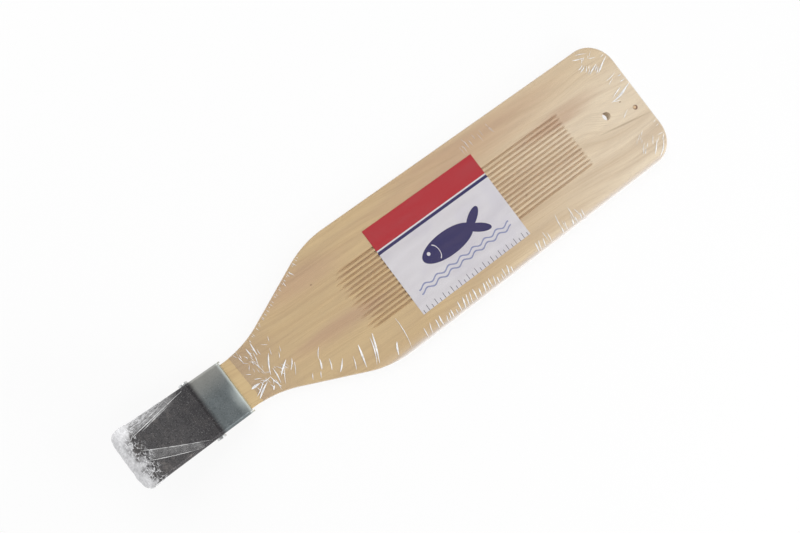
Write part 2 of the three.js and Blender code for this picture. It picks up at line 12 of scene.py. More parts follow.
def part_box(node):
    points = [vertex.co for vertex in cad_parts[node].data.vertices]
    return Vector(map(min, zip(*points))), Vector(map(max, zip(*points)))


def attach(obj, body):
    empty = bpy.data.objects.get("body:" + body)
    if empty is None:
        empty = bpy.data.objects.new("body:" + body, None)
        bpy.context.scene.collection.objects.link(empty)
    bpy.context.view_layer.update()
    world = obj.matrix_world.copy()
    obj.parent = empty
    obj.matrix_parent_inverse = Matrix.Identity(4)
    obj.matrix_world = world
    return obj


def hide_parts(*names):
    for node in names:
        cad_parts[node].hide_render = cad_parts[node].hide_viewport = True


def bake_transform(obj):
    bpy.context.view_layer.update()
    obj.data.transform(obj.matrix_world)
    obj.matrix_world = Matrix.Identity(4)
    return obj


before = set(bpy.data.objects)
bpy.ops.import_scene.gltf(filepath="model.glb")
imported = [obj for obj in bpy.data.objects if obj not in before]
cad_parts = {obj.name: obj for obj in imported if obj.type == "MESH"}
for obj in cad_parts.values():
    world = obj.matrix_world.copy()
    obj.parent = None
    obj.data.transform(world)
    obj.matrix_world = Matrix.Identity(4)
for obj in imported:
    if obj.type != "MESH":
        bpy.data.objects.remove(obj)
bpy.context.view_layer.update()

bl_info = {
    "name": "Fish Fillet Board",
    "version": (1, 0, 0),
    "blender": (4, 5, 0),
    "location": "View3D > Sidebar > Fillet Board",
    "description": "Builds the finished surfaces of a fillet board round its engineering model",
    "category": "Add Mesh",
}

MM = 0.001
SAME_PLACE = 0.01 * MM
MERGE_DISTANCE = 0.001 * MM
FLAT_ANGLE = math.radians(0.5)
SMOOTH_ANGLE = math.radians(30)


def linear(hex_colour):
    """A colour written as #rrggbb, by the sRGB curve as linear red, green, blue and alpha."""
    shares = [int(hex_colour[i:i + 2], 16) / 255 for i in (1, 3, 5)]
    return [s / 12.92 if s <= 0.04045 else ((s + 0.055) / 1.055) ** 2.4 for s in shares] + [1.0]


def length(name, description, millimetres):
    """A property that holds a length, given its default in millimetres."""
    return FloatProperty(name=name, description=description, default=millimetres * MM,
                         unit="LENGTH", precision=5)


def colour(name, description, hex_colour):
    """A property that holds a colour, given its default as a hex value."""
    return FloatVectorProperty(name=name, description=description, default=linear(hex_colour),
                               size=4, min=0, max=1, subtype="COLOR")


class PaddleSizes(bpy.types.PropertyGroup):
    """Sizes of the wooden paddle that its box doesn't give."""

    edge_round: length("Edge round", "Radius of the eased edges", 1.5)
    end_corner: length("End corner", "Radius of the two corners at the free end", 30)
    taper: length("Taper", "Length of the stretch between blade and handle", 101)
    shoulder: length("Shoulder", "Radius where the blade turns into the taper", 105)
    neck: length("Neck", "Radius where the taper turns into the handle", 110)
    neck_from_end: length("Neck from end", "Distance of the neck from the handle's end", 82.4)
    handle_width: length("Handle width", "Width of the handle", 47.7)
    handle_corner: length("Handle corner", "Radius of the handle's corners", 5)
    hole: length("Hanging hole", "Diameter of the hanging hole", 8.8)
    hole_from_end: length("Hole from end", "Distance of the hole from the free end", 45)
    hole_off_centre: length("Hole off centre", "How far the hole lies beside the middle", 1.7)
    hole_chamfer: length("Hole chamfer", "Width of the eased rim of the hole", 0.4)


class GrooveSizes(bpy.types.PropertyGroup):
    """Sizes of the field of lengthwise grooves."""

    count: IntProperty(name="Grooves", description="Number of grooves side by side", default=14, min=1)
    pitch: length("Pitch", "Distance from groove to groove", 4.6)
    width: length("Width", "Width of a groove at the top face", 2.8)
    depth: length("Depth", "Depth of a groove", 1.5)
    from_end: length("From end", "Distance of the field from the free end", 88.4)
    past_shoulder: length("Past shoulder", "Distance of the field from the shoulder", 1.4)
    off_centre: length("Off centre", "How far the field lies beside the middle", 1.4)
    clamp_runout: length("Clamp run-out", "Length over which the cutter dips in at the clamp end", 20)
    end_runout: length("End run-out", "Length over which the cutter lifts out at the free end", 5)
    uneven: length("Unevenness", "How far the clamp ends of the grooves vary", 4)


class ClampSizes(bpy.types.PropertyGroup):
    """Sizes of the clamp's turned, wound and pressed pieces that their boxes don't give."""

    sheet_edge: length("Sheet edge", "Width of the broken edges of the pressed sheet", 0.22)
    pin: length("Pin", "Diameter of the pivot pin", 6)
    pin_head: length("Pin head", "Thickness of the pin's two heads", 2)
    wire: length("Wire", "Diameter of the spring wire", 2.5)
    coil: length("Coil", "Diameter of the coil at the middle of the wire", 11)
    coil_pitch: length("Coil pitch", "Distance from turn to turn", 3.1)
    base_leg: length("Base leg", "Length of the spring's leg on the base", 16)
    lever_leg: length("Lever leg", "Length of the spring's leg under the thumb plate", 26)
    turns: IntProperty(name="Turns", description="Whole turns of the coil", default=6, min=1)
    thumb_slope: FloatProperty(name="Thumb slope", description="Slope of the thumb plate",
                               default=math.radians(24), subtype="ANGLE")
    rivet_shank: length("Rivet shank", "Diameter of a rivet", 4.5)
    rivet_head: length("Rivet head", "Height of a rivet's domed head", 1.8)
    rivet_tail: length("Rivet tail", "Height of a rivet's clinched tail", 1.4)
    rivet_tail_width: length("Rivet tail width", "Diameter of a rivet's clinched tail", 7)
    hole_clearance: length("Hole clearance", "Room round a pin or rivet in its hole", 0.2)
    bore_clearance: length("Bore clearance", "Room round a washer in its counterbore", 0.6)
    washer_edge: length("Washer edge", "Width of the broken edges of a washer", 0.1)
    bend_ahead: length("Bend ahead", "How far the lever's bend lies ahead of the pin", 3.03)
    bend_above: length("Bend above", "How high the lever's bend lies above the middle of the pin", 7.9)


class FilmSizes(bpy.types.PropertyGroup):
    """Sizes of the clear shrink film over the blade and over the thumb plate."""

    lift: length("Lift", "How far the film stands off what it covers", 0.35)
    thickness: length("Thickness", "Thickness of the film, drawn thicker than the real one", 0.06)
    neck_edge: length("Neck edge", "Distance of the film's edge from the handle's end", 67.5)
    crease_height: length("Crease height", "Height of a pinched crease", 0.4)
    thumb_edge: length("Thumb edge", "Distance of the film's edge behind the bend of the lever", 3)
    thumb_length: length("Thumb length", "Length of the film over the thumb plate", 81)
    thumb_skirt: length("Thumb skirt", "How far the film hangs down round the thumb plate", 9)
    crumple: length("Crumple", "Depth of the crumpled film at the rolled end", 1.2)


class Finishes(bpy.types.PropertyGroup):
    """Colours of the surfaces."""

    wood_light: colour("Light wood", "Pale wood at the free end", "#e5d5ba")
    wood_deep: colour("Deep wood", "Pale wood at the handle", "#ceb487")
    wood_dark: colour("Dark wood", "Growth lines in the wood", "#ab8a64")
    wood_pink: colour("Heart wood", "Warmer zones in the wood", "#bd9a7d")
    # Cut wood in the grooves, darker also as painted shade in the recesses
    groove: colour("Groove", "Cut wood and painted shade on the floor of the grooves", "#a47c50")
    paper: colour("Paper", "Ground of the label", "#d8d6d9")
    print_red: colour("Red print", "Red band on the label", "#b0222a")
    print_blue: colour("Blue print", "Dark blue print on the label", "#26275a")
    zinc: colour("Zinc", "Zinc plate on the jaw", "#7d8486")
    # The thumb end's zinc is darker as painted shade, for the darker surroundings that its slope
    # reflects
    shaded_zinc: colour("Shaded zinc", "Plate of the thumb end, darker as painted shade", "#575556")
    pin: colour("Pin", "Plated steel of the pivot pin", "#e2e4e4")
    wire: colour("Wire", "Oiled steel of the spring", "#77787a")
    rivet: colour("Rivet", "Plated steel of rivets and washers", "#a2a6a6")


SIZES = {
    "paddle": PaddleSizes, "grooves": GrooveSizes, "clamp": ClampSizes, "film": FilmSizes,
    "finishes": Finishes,
}


def set_mode(mode):
    """Goes to object mode or to edit mode."""
    bpy.ops.object.mode_set(mode=mode)


def select_only(piece):
    """Leaves one piece selected and active, in object mode."""
    if bpy.context.object and bpy.context.object.mode != "OBJECT":
        set_mode("OBJECT")
    bpy.ops.object.select_all(action="DESELECT")
    piece.select_set(True)
    bpy.context.view_layer.objects.active = piece


def start_piece(name, add, **settings):
    """Adds a primitive as a new piece, with its place in its mesh, and opens it in edit mode."""
    bpy.ops.object.select_all(action="DESELECT")
    add(**settings)
    piece = bpy.context.object
    piece.name = name
    piece.data.name = name
    bpy.ops.object.transform_apply(location=True, rotation=True, scale=True)
    set_mode("EDIT")
    return piece


def start_plate(name, centre, size):
    """Starts a piece with one flat face of a size along X and Y."""
    piece = start_piece(name, bpy.ops.mesh.primitive_plane_add, size=1, location=centre)
    bpy.ops.transform.resize(value=(*size, 1), center_override=centre)
    return piece


def start_empty(name):
    """Starts a piece with nothing in it, to which several shapes can be added in edit mode."""
    piece = start_piece(name, bpy.ops.mesh.primitive_plane_add)
    bpy.ops.mesh.delete(type="VERT")
    return piece


def pick(piece, kind, test, rim=False):
    """In edit mode, selects vertices or edges by a test of their ends' places, if asked only on rims."""
    bpy.ops.mesh.select_mode(type=kind)
    bpy.ops.mesh.select_all(action="DESELECT")
    shape = bmesh.from_edit_mesh(piece.data)
    for element in {"VERT": shape.verts, "EDGE": shape.edges}[kind]:
        ends = [element] if kind == "VERT" else element.verts
        if all(test(end.co) for end in ends) and (element.is_boundary or not rim):
            element.select_set(True)
    shape.select_flush_mode()
    bmesh.update_edit_mesh(piece.data)


def near(a, b):
    """Whether two lengths are the same, but for rounding."""
    return abs(a - b) < SAME_PLACE


def extrude(move):
    """Extrudes what is selected by a move."""
    bpy.ops.mesh.extrude_region_move(TRANSFORM_OT_translate={"value": move})


def draw_out(centre, steps):
    """Extrudes the selected face through steps, each a move and a scale about the new middle."""
    centre = Vector(centre)
    for move, scale in steps:
        centre += Vector(move)
        extrude(move)
        bpy.ops.transform.resize(value=scale, center_override=centre)


def turn(centre, profile, axis, fill="NGON"):
    """In edit mode, adds a shape turned round an axis, from its list of radius and distance along it."""
    place = Vector(centre)
    place[axis] += profile[0][1]
    tilt = (math.pi / 2, 0, 0) if axis == 1 else (0, 0, 0)
    bpy.ops.mesh.primitive_circle_add(vertices=TURNED_SIDES, radius=profile[0][0], fill_type=fill,
                                      location=place, rotation=tilt)
    steps = []
    for (radius, along), (next_radius, next_along) in zip(profile, profile[1:]):
        scale = Vector((next_radius / radius,) * 3)
        scale[axis] = 1
        move = Vector((0, 0, 0))
        move[axis] = next_along - along
        steps.append((move, scale))
    draw_out(place, steps)


def close_shape():
    """Merges doubles, turns the faces outwards and goes back to object mode."""
    bpy.ops.mesh.select_all(action="SELECT")
    bpy.ops.mesh.remove_doubles(threshold=MERGE_DISTANCE)
    bpy.ops.mesh.normals_make_consistent(inside=False)
    set_mode("OBJECT")


def turned_piece(name, centre, profile, axis, fill="NGON"):
    """A piece turned round an axis through its centre."""
    piece = start_empty(name)
    turn(centre, profile, axis, fill)
    close_shape()
    return piece


def apply_modifier(piece, kind, **settings):
    """Adds one modifier with its settings and applies it."""
    select_only(piece)
    modifier = piece.modifiers.new(kind.lower(), kind)
    for name, value in settings.items():
        setattr(modifier, name, value)
    bpy.ops.object.modifier_apply(modifier=modifier.name)


def break_edges(piece, width):
    """Breaks the sharp edges of a piece with narrow rounded bevels."""
    apply_modifier(piece, "BEVEL", width=width, segments=2, limit_method="ANGLE",
                   angle_limit=SMOOTH_ANGLE)


def smooth(piece):
    """Smooth shading that keeps real edges sharp and flat faces flat."""
    select_only(piece)
    bpy.ops.object.shade_smooth_by_angle(angle=SMOOTH_ANGLE)
    apply_modifier(piece, "WEIGHTED_NORMAL", keep_sharp=True)


def finish_piece(piece, material, body=None, node=None):
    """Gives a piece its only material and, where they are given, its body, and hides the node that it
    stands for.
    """
    piece.data.materials.clear()
    piece.data.materials.append(material)
    if body:
        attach(piece, body)
    if node:
        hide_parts(node)


def copy_of(source, name):
    """A copy of an object with its own mesh and nothing else of it."""
    piece = source.copy()
    piece.data = source.data.copy()
    for key in list(piece.keys()):
        del piece[key]
    piece.parent = None
    piece.name = name
    piece.data.name = name
    bpy.context.scene.collection.objects.link(piece)
    return piece


def pressed_sheet(node, name, material, body):
    """A pressing copied from its engineering node, its flat triangles merged and its edges broken."""
    piece = copy_of(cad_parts[node], name)
    select_only(piece)
    set_mode("EDIT")
    bpy.ops.mesh.select_all(action="SELECT")
    bpy.ops.mesh.remove_doubles(threshold=MERGE_DISTANCE)
    bpy.ops.mesh.dissolve_limited(angle_limit=FLAT_ANGLE)
    set_mode("OBJECT")
    break_edges(piece, bpy.context.scene.clamp.sheet_edge)
    smooth(piece)
    finish_piece(piece, zinc_sheet(material), body, node)


def middle(node):
    """The middle of a node's box."""
    low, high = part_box(node)
    return (low + high) / 2


# Materials

WHITE = linear("#ffffff")


def put(tree, kind, inputs=(), to=None, **settings):
    """Adds a node with its settings, fills its inputs in order or by name, and gives its output."""
    node = tree.nodes.new("ShaderNode" + kind)
    for name, value in settings.items():
        setattr(node, name, value)
    for name, value in inputs.items() if isinstance(inputs, dict) else enumerate(inputs):
        if isinstance(value, bpy.types.NodeSocket):
            tree.links.new(value, node.inputs[name])
        else:
            node.inputs[name].default_value = value
    output = next(output for output in node.outputs if output.enabled)
    if to:
        tree.links.new(output, to)
    return output


def start_material(name):
    """A new material, with its tree, its shader and the piece's own coordinates in millimetres."""
    material = bpy.data.materials.new(name)
    material.use_nodes = True
    tree = material.node_tree
    place = put(tree, "TexCoord").node.outputs["Object"]
    mm = put(tree, "VectorMath", (place, (1 / MM,) * 3), operation="MULTIPLY")
    return material, tree, tree.nodes["Principled BSDF"], mm


def blotches(tree, place, size, detail=3.0, roughness=0.5):
    """A cloudy pattern from 0 to 1 whose blotches have a size in millimetres along each axis."""
    scaled = put(tree, "VectorMath", (place, size), operation="DIVIDE")
    return put(tree, "TexNoise", {
        "Vector": scaled, "Scale": 1.0, "Detail": detail, "Roughness": roughness,
    })


def layer(tree, under, over, pattern, start, full, most):
    """A colour laid over another where a pattern rises from start to full, by a share at most."""
    share = put(tree, "MapRange", {
        "Value": pattern, "From Min": start, "From Max": full, "To Min": 0.0, "To Max": most,
    }, interpolation_type="SMOOTHSTEP")
    # The mix node's sockets 6 and 7 are its two colours
    return put(tree, "Mix", {0: share, 6: under, 7: over}, data_type="RGBA")


def spot(tree, place, centre, reach):
    """A round or stretched spot: 1 at its centre and 0 at its reach, both in millimetres."""
    offset = put(tree, "VectorMath", (place, centre), operation="SUBTRACT")
    scaled = put(tree, "VectorMath", (offset, reach), operation="DIVIDE")
    far = put(tree, "VectorMath", (scaled,), operation="LENGTH").node.outputs["Value"]
    return put(tree, "Math", (1.0, far), operation="SUBTRACT", use_clamp=True)


def colour_and_gloss(tree, shader, base, pattern, smoothest, roughest):
    """Links a shader's colour, and its roughness as it follows a pattern."""
    tree.links.new(base, shader.inputs["Base Color"])
    put(tree, "MapRange", {"Value": pattern, "To Min": smoothest, "To Max": roughest},
        to=shader.inputs["Roughness"])


# The wood's figure: lengths in millimetres along, across and through the board. Fibres and pores are
# really about 0.1 mm wide and are drawn coarser, so that they show.
GRAIN_WANDER = (170, 60, 60)
BROAD_BANDS = (420, 17, 40)
GROWTH_LINES = (300, 3.2, 14)
FIBRES = (46, 0.8, 0.8)
PORES = (7, 0.4, 0.4)
GRAIN_SLANT = math.radians(-4)
WANDER_ASIDE = 26.0
BULGE_ASIDE = 12.0
KNOT = (266.8, -11.9, 9.5)
KNOT_BULGE = (70, 26, 40)
KNOT_RING = ((0, 0, 0), (3.0, 2.8, 9))
KNOT_WOOD = ((-0.5, 0.5, 0), (1.9, 1.8, 9))
STREAK = (246, -19.2, 9.5)
STREAK_REACH = (44, 1.5, 9)
STREAK_SLANT = math.radians(10)
SPECKS = ((-113.7, 34.1, 9.5), (256.4, 1.6, 9.5), (112.1, -17.6, 8.5))
SPECK_REACH = (1.4, 0.9, 9)
# Middle and reach of the warmer zones
HEART_ZONES = (
    ((90, 52, 5), (190, 26, 40)), ((190, 25, 5), (70, 14, 40)), ((-118, -12, 5), (75, 16, 40)),
    ((-122, 42, 5), (75, 20, 40)),
)
# Where the wood turns pale along the board, and deeper towards its far side
TONE_ALONG = (-60, 250)
TONE_ACROSS = (15, 60)
# Share of a groove's depth from which it is darker, with painted shade
GROOVE_SHADE_FROM = 0.1
FIBRE_RELIEF = 0.06 * MM


def pale_poplar():
    """Planed and sanded poplar: pale, with long soft growth lines, fine fibres and warm heart zones."""
    finish = bpy.context.scene.finishes
    material, tree, shader, mm = start_material("poplar_planed_and_sanded")
    parts = put(tree, "SeparateXYZ", (mm,)).node.outputs

    # The growth lines slant across the blade, wander sideways and bulge round the knot
    slanted = put(tree, "Mapping", {"Vector": mm, "Rotation": (0, 0, -GRAIN_SLANT)})
    wander = blotches(tree, mm, GRAIN_WANDER, detail=1.0)
    bulge = spot(tree, mm, KNOT, KNOT_BULGE)
    aside = put(tree, "Math", (wander, WANDER_ASIDE), operation="MULTIPLY")
    aside = put(tree, "Math", (bulge, BULGE_ASIDE, aside), operation="MULTIPLY_ADD")
    shift = put(tree, "CombineXYZ", {"Y": aside})
    grown = put(tree, "VectorMath", (slanted, shift), operation="ADD")
    broad = blotches(tree, grown, BROAD_BANDS, detail=2.0)
    lines = blotches(tree, grown, GROWTH_LINES, roughness=0.6)
    fibre = blotches(tree, grown, FIBRES, roughness=0.65)
    pores = blotches(tree, grown, PORES, detail=1.0)

    base = layer(tree, finish.wood_deep, finish.wood_light, parts["X"], *TONE_ALONG, most=1.0)
    base = layer(tree, base, finish.wood_deep, parts["Y"], *TONE_ACROSS, most=0.4)
    base = layer(tree, base, finish.wood_dark, broad, start=0.42, full=0.7, most=0.22)
    for centre, reach in HEART_ZONES:
        zone = spot(tree, mm, centre, reach)
        zone = put(tree, "Math", (zone, broad), operation="MULTIPLY")
        base = layer(tree, base, finish.wood_pink, zone, start=0.02, full=0.4, most=0.6)
    # Lines and fibres are fainter in the paler wood of the free end
    tone = layer(tree, finish.wood_dark, finish.wood_light, parts["X"], *TONE_ALONG, most=0.3)
    base = layer(tree, base, tone, lines, start=0.46, full=0.7, most=0.26)
    base = layer(tree, base, tone, fibre, start=0.46, full=0.7, most=0.28)
    base = layer(tree, base, linear("#8d6a45"), pores, start=0.66, full=0.8, most=0.3)

    # A dark streak beside the knot, the knot with its ring, and a few specks
    turned = put(tree, "VectorMath", (mm, STREAK), operation="SUBTRACT")
    turned = put(tree, "Mapping", {"Vector": turned, "Rotation": (0, 0, STREAK_SLANT)})
    streak = spot(tree, turned, (0, 0, 0), STREAK_REACH)
    base = layer(tree, base, linear("#8b7253"), streak, start=0.0, full=0.9, most=0.45)
    for (offset, reach), wood in ((KNOT_RING, "#6b3a17"), (KNOT_WOOD, "#e3c49a")):
        ring = spot(tree, mm, Vector(KNOT) + Vector(offset), reach)
        base = layer(tree, base, linear(wood), ring, start=0.0, full=0.2, most=0.9)
    for place in SPECKS:
        speck = spot(tree, mm, place, SPECK_REACH)
        base = layer(tree, base, linear("#7c5a3a"), speck, start=0.0, full=0.5, most=0.7)

    # The cutter leaves groove floors rougher and darker than the sanded face; painted shade darkens them
    # more
    sizes = bpy.context.scene.grooves
    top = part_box("board")[1].z / MM
    first, last = (edge / MM for edge in groove_field())
    sunk = put(tree, "Math", (top, parts["Z"]), operation="SUBTRACT")
    along = (parts["X"], (first + last) / 2, (last - first) / 2 + sizes.uneven / MM)
    across = (parts["Y"], -sizes.off_centre / MM, sizes.count * sizes.pitch / 2 / MM)
    for limits in (along, across):
        inside = put(tree, "Math", limits, operation="COMPARE")
        sunk = put(tree, "Math", (sunk, inside), operation="MULTIPLY")
    depth = sizes.depth / MM
    base = layer(tree, base, finish.groove, sunk, start=depth * GROOVE_SHADE_FROM, full=depth, most=0.37)

    colour_and_gloss(tree, shader, base, fibre, smoothest=0.42, roughest=0.72)
    put(tree, "Bump", {"Height": fibre, "Distance": FIBRE_RELIEF}, to=shader.inputs["Normal"])
    return material


# The label's print, in millimetres from the middle of the label or from its long sides. The mottle
# of the coated paper is really finer and is drawn coarser, so that it shows.
PAPER_MOTTLE = (0.7, 0.7, 0.7)
PAPER_CLOUDS = (26, 20, 20)
PAPER_WAVES = 0.1 * MM
BAND_WIDTH = 23
BAND_GAP = 1.5
LINE_WIDTH = 3
PRINT_EDGE = 0.1
FLAT_REACH = 50
FISH_BODY = ((-6, -8, 0), (31, 12, FLAT_REACH))
FISH_TAIL = (29, -8, 0)
FISH_LOBE = (13, 4.6, FLAT_REACH)
LOBE_ASIDE = 5.5
LOBE_TURN = math.radians(32)
FISH_EYE = ((-28, -5.5, 0), (1.9, 1.9, FLAT_REACH))
FISH_GILL = ((-21.5, -8, 0), (5, 8.5, FLAT_REACH))
GILL_FROM = -20.5
# The gill's line on its spot: the share of the spot where it runs, and half its width
GILL_LINE = (0.1, 0.07)
WAVE_LENGTH = 15
WAVE_HEIGHT = 1.4
WAVE_LINE = 0.75
WAVE_LEVELS = (-26.5, -31)
WAVE_HALF = 57
SCALE_MARKS = ((5, 3.5), (10, 6))
MARK_LINE = 0.28


def coated_paper():
    """Coated printed paper: smooth and faintly fibrous, with flat print of a fish, waves and a scale."""
    finish = bpy.context.scene.finishes
    material, tree, shader, mm = start_material("coated_label_paper")
    low, high = (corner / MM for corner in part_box("paper_label"))
    half_width = (high.y - low.y) / 2
    local = put(tree, "VectorMath", (mm, (low + high) / 2), operation="SUBTRACT")
    parts = put(tree, "SeparateXYZ", (local,)).node.outputs
    along, across = parts["X"], parts["Y"]
    mottle = blotches(tree, mm, PAPER_MOTTLE, detail=2.0)
    cloud = blotches(tree, mm, PAPER_CLOUDS, detail=2.0)
    base = layer(tree, finish.paper, linear("#bdbac6"), mottle, start=0.4, full=0.75, most=0.22)
    base = layer(tree, base, linear("#c7c4cf"), cloud, start=0.45, full=0.7, most=0.35)

    # A red band with a blue line along one long side
    edge = half_width - BAND_WIDTH
    bands = ((finish.print_blue, edge - BAND_GAP - LINE_WIDTH), (finish.paper, edge - BAND_GAP),
             (finish.print_red, edge))
    for ink, start in bands:
        base = layer(tree, base, ink, across, start - PRINT_EDGE, start + PRINT_EDGE, most=1.0)

    # A plain fish: body, two lobes of the tail, eye and gill
    shapes = [(local, *FISH_BODY)]
    for side in (-1, 1):
        root = Vector(FISH_TAIL) + Vector((0, side * LOBE_ASIDE, 0))
        lobe = put(tree, "VectorMath", (local, root), operation="SUBTRACT")
        lobe = put(tree, "Mapping", {"Vector": lobe, "Rotation": (0, 0, -side * LOBE_TURN)})
        shapes.append((lobe, (0, 0, 0), FISH_LOBE))
    for place, centre, reach in shapes:
        inked = spot(tree, place, centre, reach)
        base = layer(tree, base, finish.print_blue, inked, start=0.0, full=0.03, most=1.0)
    base = layer(tree, base, finish.paper, spot(tree, local, *FISH_EYE), start=0.0, full=0.1, most=1.0)
    gill = spot(tree, local, *FISH_GILL)
    ring = put(tree, "Math", (gill, *GILL_LINE), operation="COMPARE")
    behind = put(tree, "Math", (along, GILL_FROM), operation="GREATER_THAN")
    ring = put(tree, "Math", (ring, behind), operation="MULTIPLY")
    base = layer(tree, base, finish.paper, ring, start=0.4, full=0.6, most=1.0)

    # Two wave lines under the fish
    swing = put(tree, "Math", (along, 2 * math.pi / WAVE_LENGTH), operation="MULTIPLY")
    swing = put(tree, "Math", (swing,), operation="SINE")
    swing = put(tree, "Math", (swing, WAVE_HEIGHT, across), operation="MULTIPLY_ADD")
    inside = put(tree, "Math", (along, 0.0, WAVE_HALF), operation="COMPARE")
    for level in WAVE_LEVELS:
        wave = put(tree, "Math", (swing, level, WAVE_LINE), operation="COMPARE")
        wave = put(tree, "Math", (wave, inside), operation="MULTIPLY")
        base = layer(tree, base, linear("#8b92b4"), wave, start=0.4, full=0.6, most=1.0)

    # A plain scale along the other long side, with longer marks every centimetre
    for spacing, reach in SCALE_MARKS:
        beat = put(tree, "Math", (along, spacing / 2), operation="PINGPONG")
        mark = put(tree, "Math", (beat, MARK_LINE), operation="LESS_THAN")
        near_side = put(tree, "Math", (across, reach - half_width), operation="LESS_THAN")
        mark = put(tree, "Math", (mark, near_side), operation="MULTIPLY")
        base = layer(tree, base, linear("#3c3c48"), mark, start=0.4, full=0.6, most=1.0)

    colour_and_gloss(tree, shader, base, mottle, smoothest=0.28, roughest=0.5)
    shader.inputs["Specular IOR Level"].default_value = 0.25
    put(tree, "Bump", {"Height": cloud, "Distance": PAPER_WAVES}, to=shader.inputs["Normal"])
    return material


# Sizes of the marks on the plated sheet and on the turned steel, in millimetres. The grit and the
# turning lines are really finer and are drawn coarser, so that they show.
ZINC_CLOUDS = (16, 9, 9)
OIL_SMEARS = (7, 15, 15)
ZINC_SPANGLE = (2.2, 1.4, 1.4)
SHEET_GRIT = (0.9, 0.9, 0.9)
TURNING_LINES = (0.8, 6, 0.8)
# Width of the painted highlight along the bend of the lip
PAINTED_LIP_HIGHLIGHT = 6
# The painted glint on the lip, in place of the reflection in its curved bend: its middle from the lip's
# edge, and its reach
PAINTED_LIP_GLINT = (-1, -10, 0)
PAINTED_LIP_GLINT_REACH = (14, 22, 40)
# Painted shade at the bend: where the thumb's shade fades into the jaw, and where it darkens behind the
# bend
BEND_BEHIND = 1.5
PAINTED_SHADE_PAST_BEND = 4.5
PAINTED_SHADE_BEHIND_BEND = (28, 8)
GRIT_RELIEF = 0.02 * MM


def zinc_sheet(name):
    """Zinc-plated sheet: dull, cloudy metal with oil smears; painted highlights on the jaw, painted
    shade behind the bend.
    """
    finish = bpy.context.scene.finishes
    material, tree, shader, mm = start_material(name)
    cloud = blotches(tree, mm, ZINC_CLOUDS, detail=4.0, roughness=0.6)
    smear = blotches(tree, mm, OIL_SMEARS, detail=4.0, roughness=0.65)
    spangle = blotches(tree, mm, ZINC_SPANGLE, roughness=0.7)
    grit = blotches(tree, mm, SHEET_GRIT, detail=2.0)
    parts = put(tree, "SeparateXYZ", (mm,)).node.outputs
    low, high = (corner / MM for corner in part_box("jaw_lever"))
    bend = (middle("pivot_pin").x + bpy.context.scene.clamp.bend_ahead) / MM

    jaw = layer(tree, finish.zinc, linear("#6f7678"), cloud, start=0.4, full=0.7, most=0.6)
    jaw = layer(tree, jaw, linear("#4e5557"), spangle, start=0.48, full=0.68, most=0.45)
    # Painted reflection: the jaw turns lighter and beige towards its far side
    jaw = layer(tree, jaw, linear("#bdbab2"), parts["Y"], start=0, full=high.y, most=0.55)
    # Painted highlight along the bend of the lip
    lip = high.x - PAINTED_LIP_HIGHLIGHT
    jaw = layer(tree, jaw, linear("#d3dad6"), parts["X"], start=lip, full=lip + PAINTED_LIP_HIGHLIGHT / 2, most=0.9)
    # Painted glint on the middle of the lip
    lip_glint = spot(tree, mm, Vector((high.x, 0, low.z)) + Vector(PAINTED_LIP_GLINT), PAINTED_LIP_GLINT_REACH)
    jaw = layer(tree, jaw, linear("#e9f2ee"), lip_glint, start=0.0, full=0.9, most=0.6)

    # Painted shade: the thumb plate is darker than the jaw, for the darker surroundings its slope
    # reflects. The smears on it are oil.
    thumb = layer(tree, finish.shaded_zinc, linear("#7c7773"), smear, start=0.46, full=0.74, most=0.6)
    thumb = layer(tree, thumb, linear("#353236"), spangle, start=0.46, full=0.68, most=0.7)
    # More painted shade on the thumb plate towards the bend
    start, full = (bend - distance for distance in PAINTED_SHADE_BEHIND_BEND)
    thumb = layer(tree, thumb, linear("#2e2c30"), parts["X"], start, full, most=0.5)
    # The thumb's painted shade fades into the jaw's colour past the bend
    base = layer(tree, thumb, jaw, parts["X"], bend - BEND_BEHIND, bend + PAINTED_SHADE_PAST_BEND, most=1.0)
    base = layer(tree, base, linear("#b9bab7"), grit, start=0.6, full=0.72, most=0.4)
    colour_and_gloss(tree, shader, base, smear, smoothest=0.2, roughest=0.5)
    shader.inputs["Metallic"].default_value = 1.0
    put(tree, "Bump", {"Height": grit, "Distance": GRIT_RELIEF}, to=shader.inputs["Normal"])
    return material


def bright_steel(name, tone):
    """Bright plated steel, turned or drawn, with fine lines round it."""
    material, tree, shader, mm = start_material(name)
    lines = blotches(tree, mm, TURNING_LINES, detail=2.0)
    base = layer(tree, tone, linear("#5c5e60"), lines, start=0.4, full=0.75, most=0.5)
    colour_and_gloss(tree, shader, base, lines, smoothest=0.2, roughest=0.4)
    shader.inputs["Metallic"].default_value = 1.0
    return material


# Sizes of the clouds and crinkles in the film, in millimetres
FILM_CLOUDS = (60, 9, 9)
PINCH_CLOUDS = (5, 5, 5)
GATHER_CLOUDS = (9, 9, 9)
GATHER_CRINKLES = (3, 5, 5)
GATHER_WRINKLES = (1.4, 2.0, 2.0)
RIM_STREAKS = (14, 1.1, 1.4)
# Haze of the film over the blade: how far it reaches in millimetres, how white it is, and how
# quickly it falls off on the near side
BLADE_WHITE = (0.03, 0.06)
NECK_HAZE = 45
NECK_WHITE = 0.08
EDGE_HAZE = 1.5
EDGE_WHITE = 0.06
# The near side is whiter as haze, and as painted light on the lit near edge
SIDE_HAZE = 6
SIDE_HAZE_AND_LIGHT = 0.72
SIDE_FALL = 2.0
# The gathered film: where it starts and how far it reaches in, in millimetres, and how white it is
GATHER_FROM = -3
GATHER_REACH = 22.0
GATHER_EDGE = (-4.0, 5.0)
SIDE_GATHER = 12.0
GATHER_WHITE = (0.7, 0.97)
CRINKLE_REACH = 14.0
CRINKLE_LINE = 0.04
CRINKLE_WHITE = 0.9
RIM_HAZE = 11
RIM_FADE = (20, 62)
RIM_WHITE = 0.8
THUMB_WHITE = 0.012


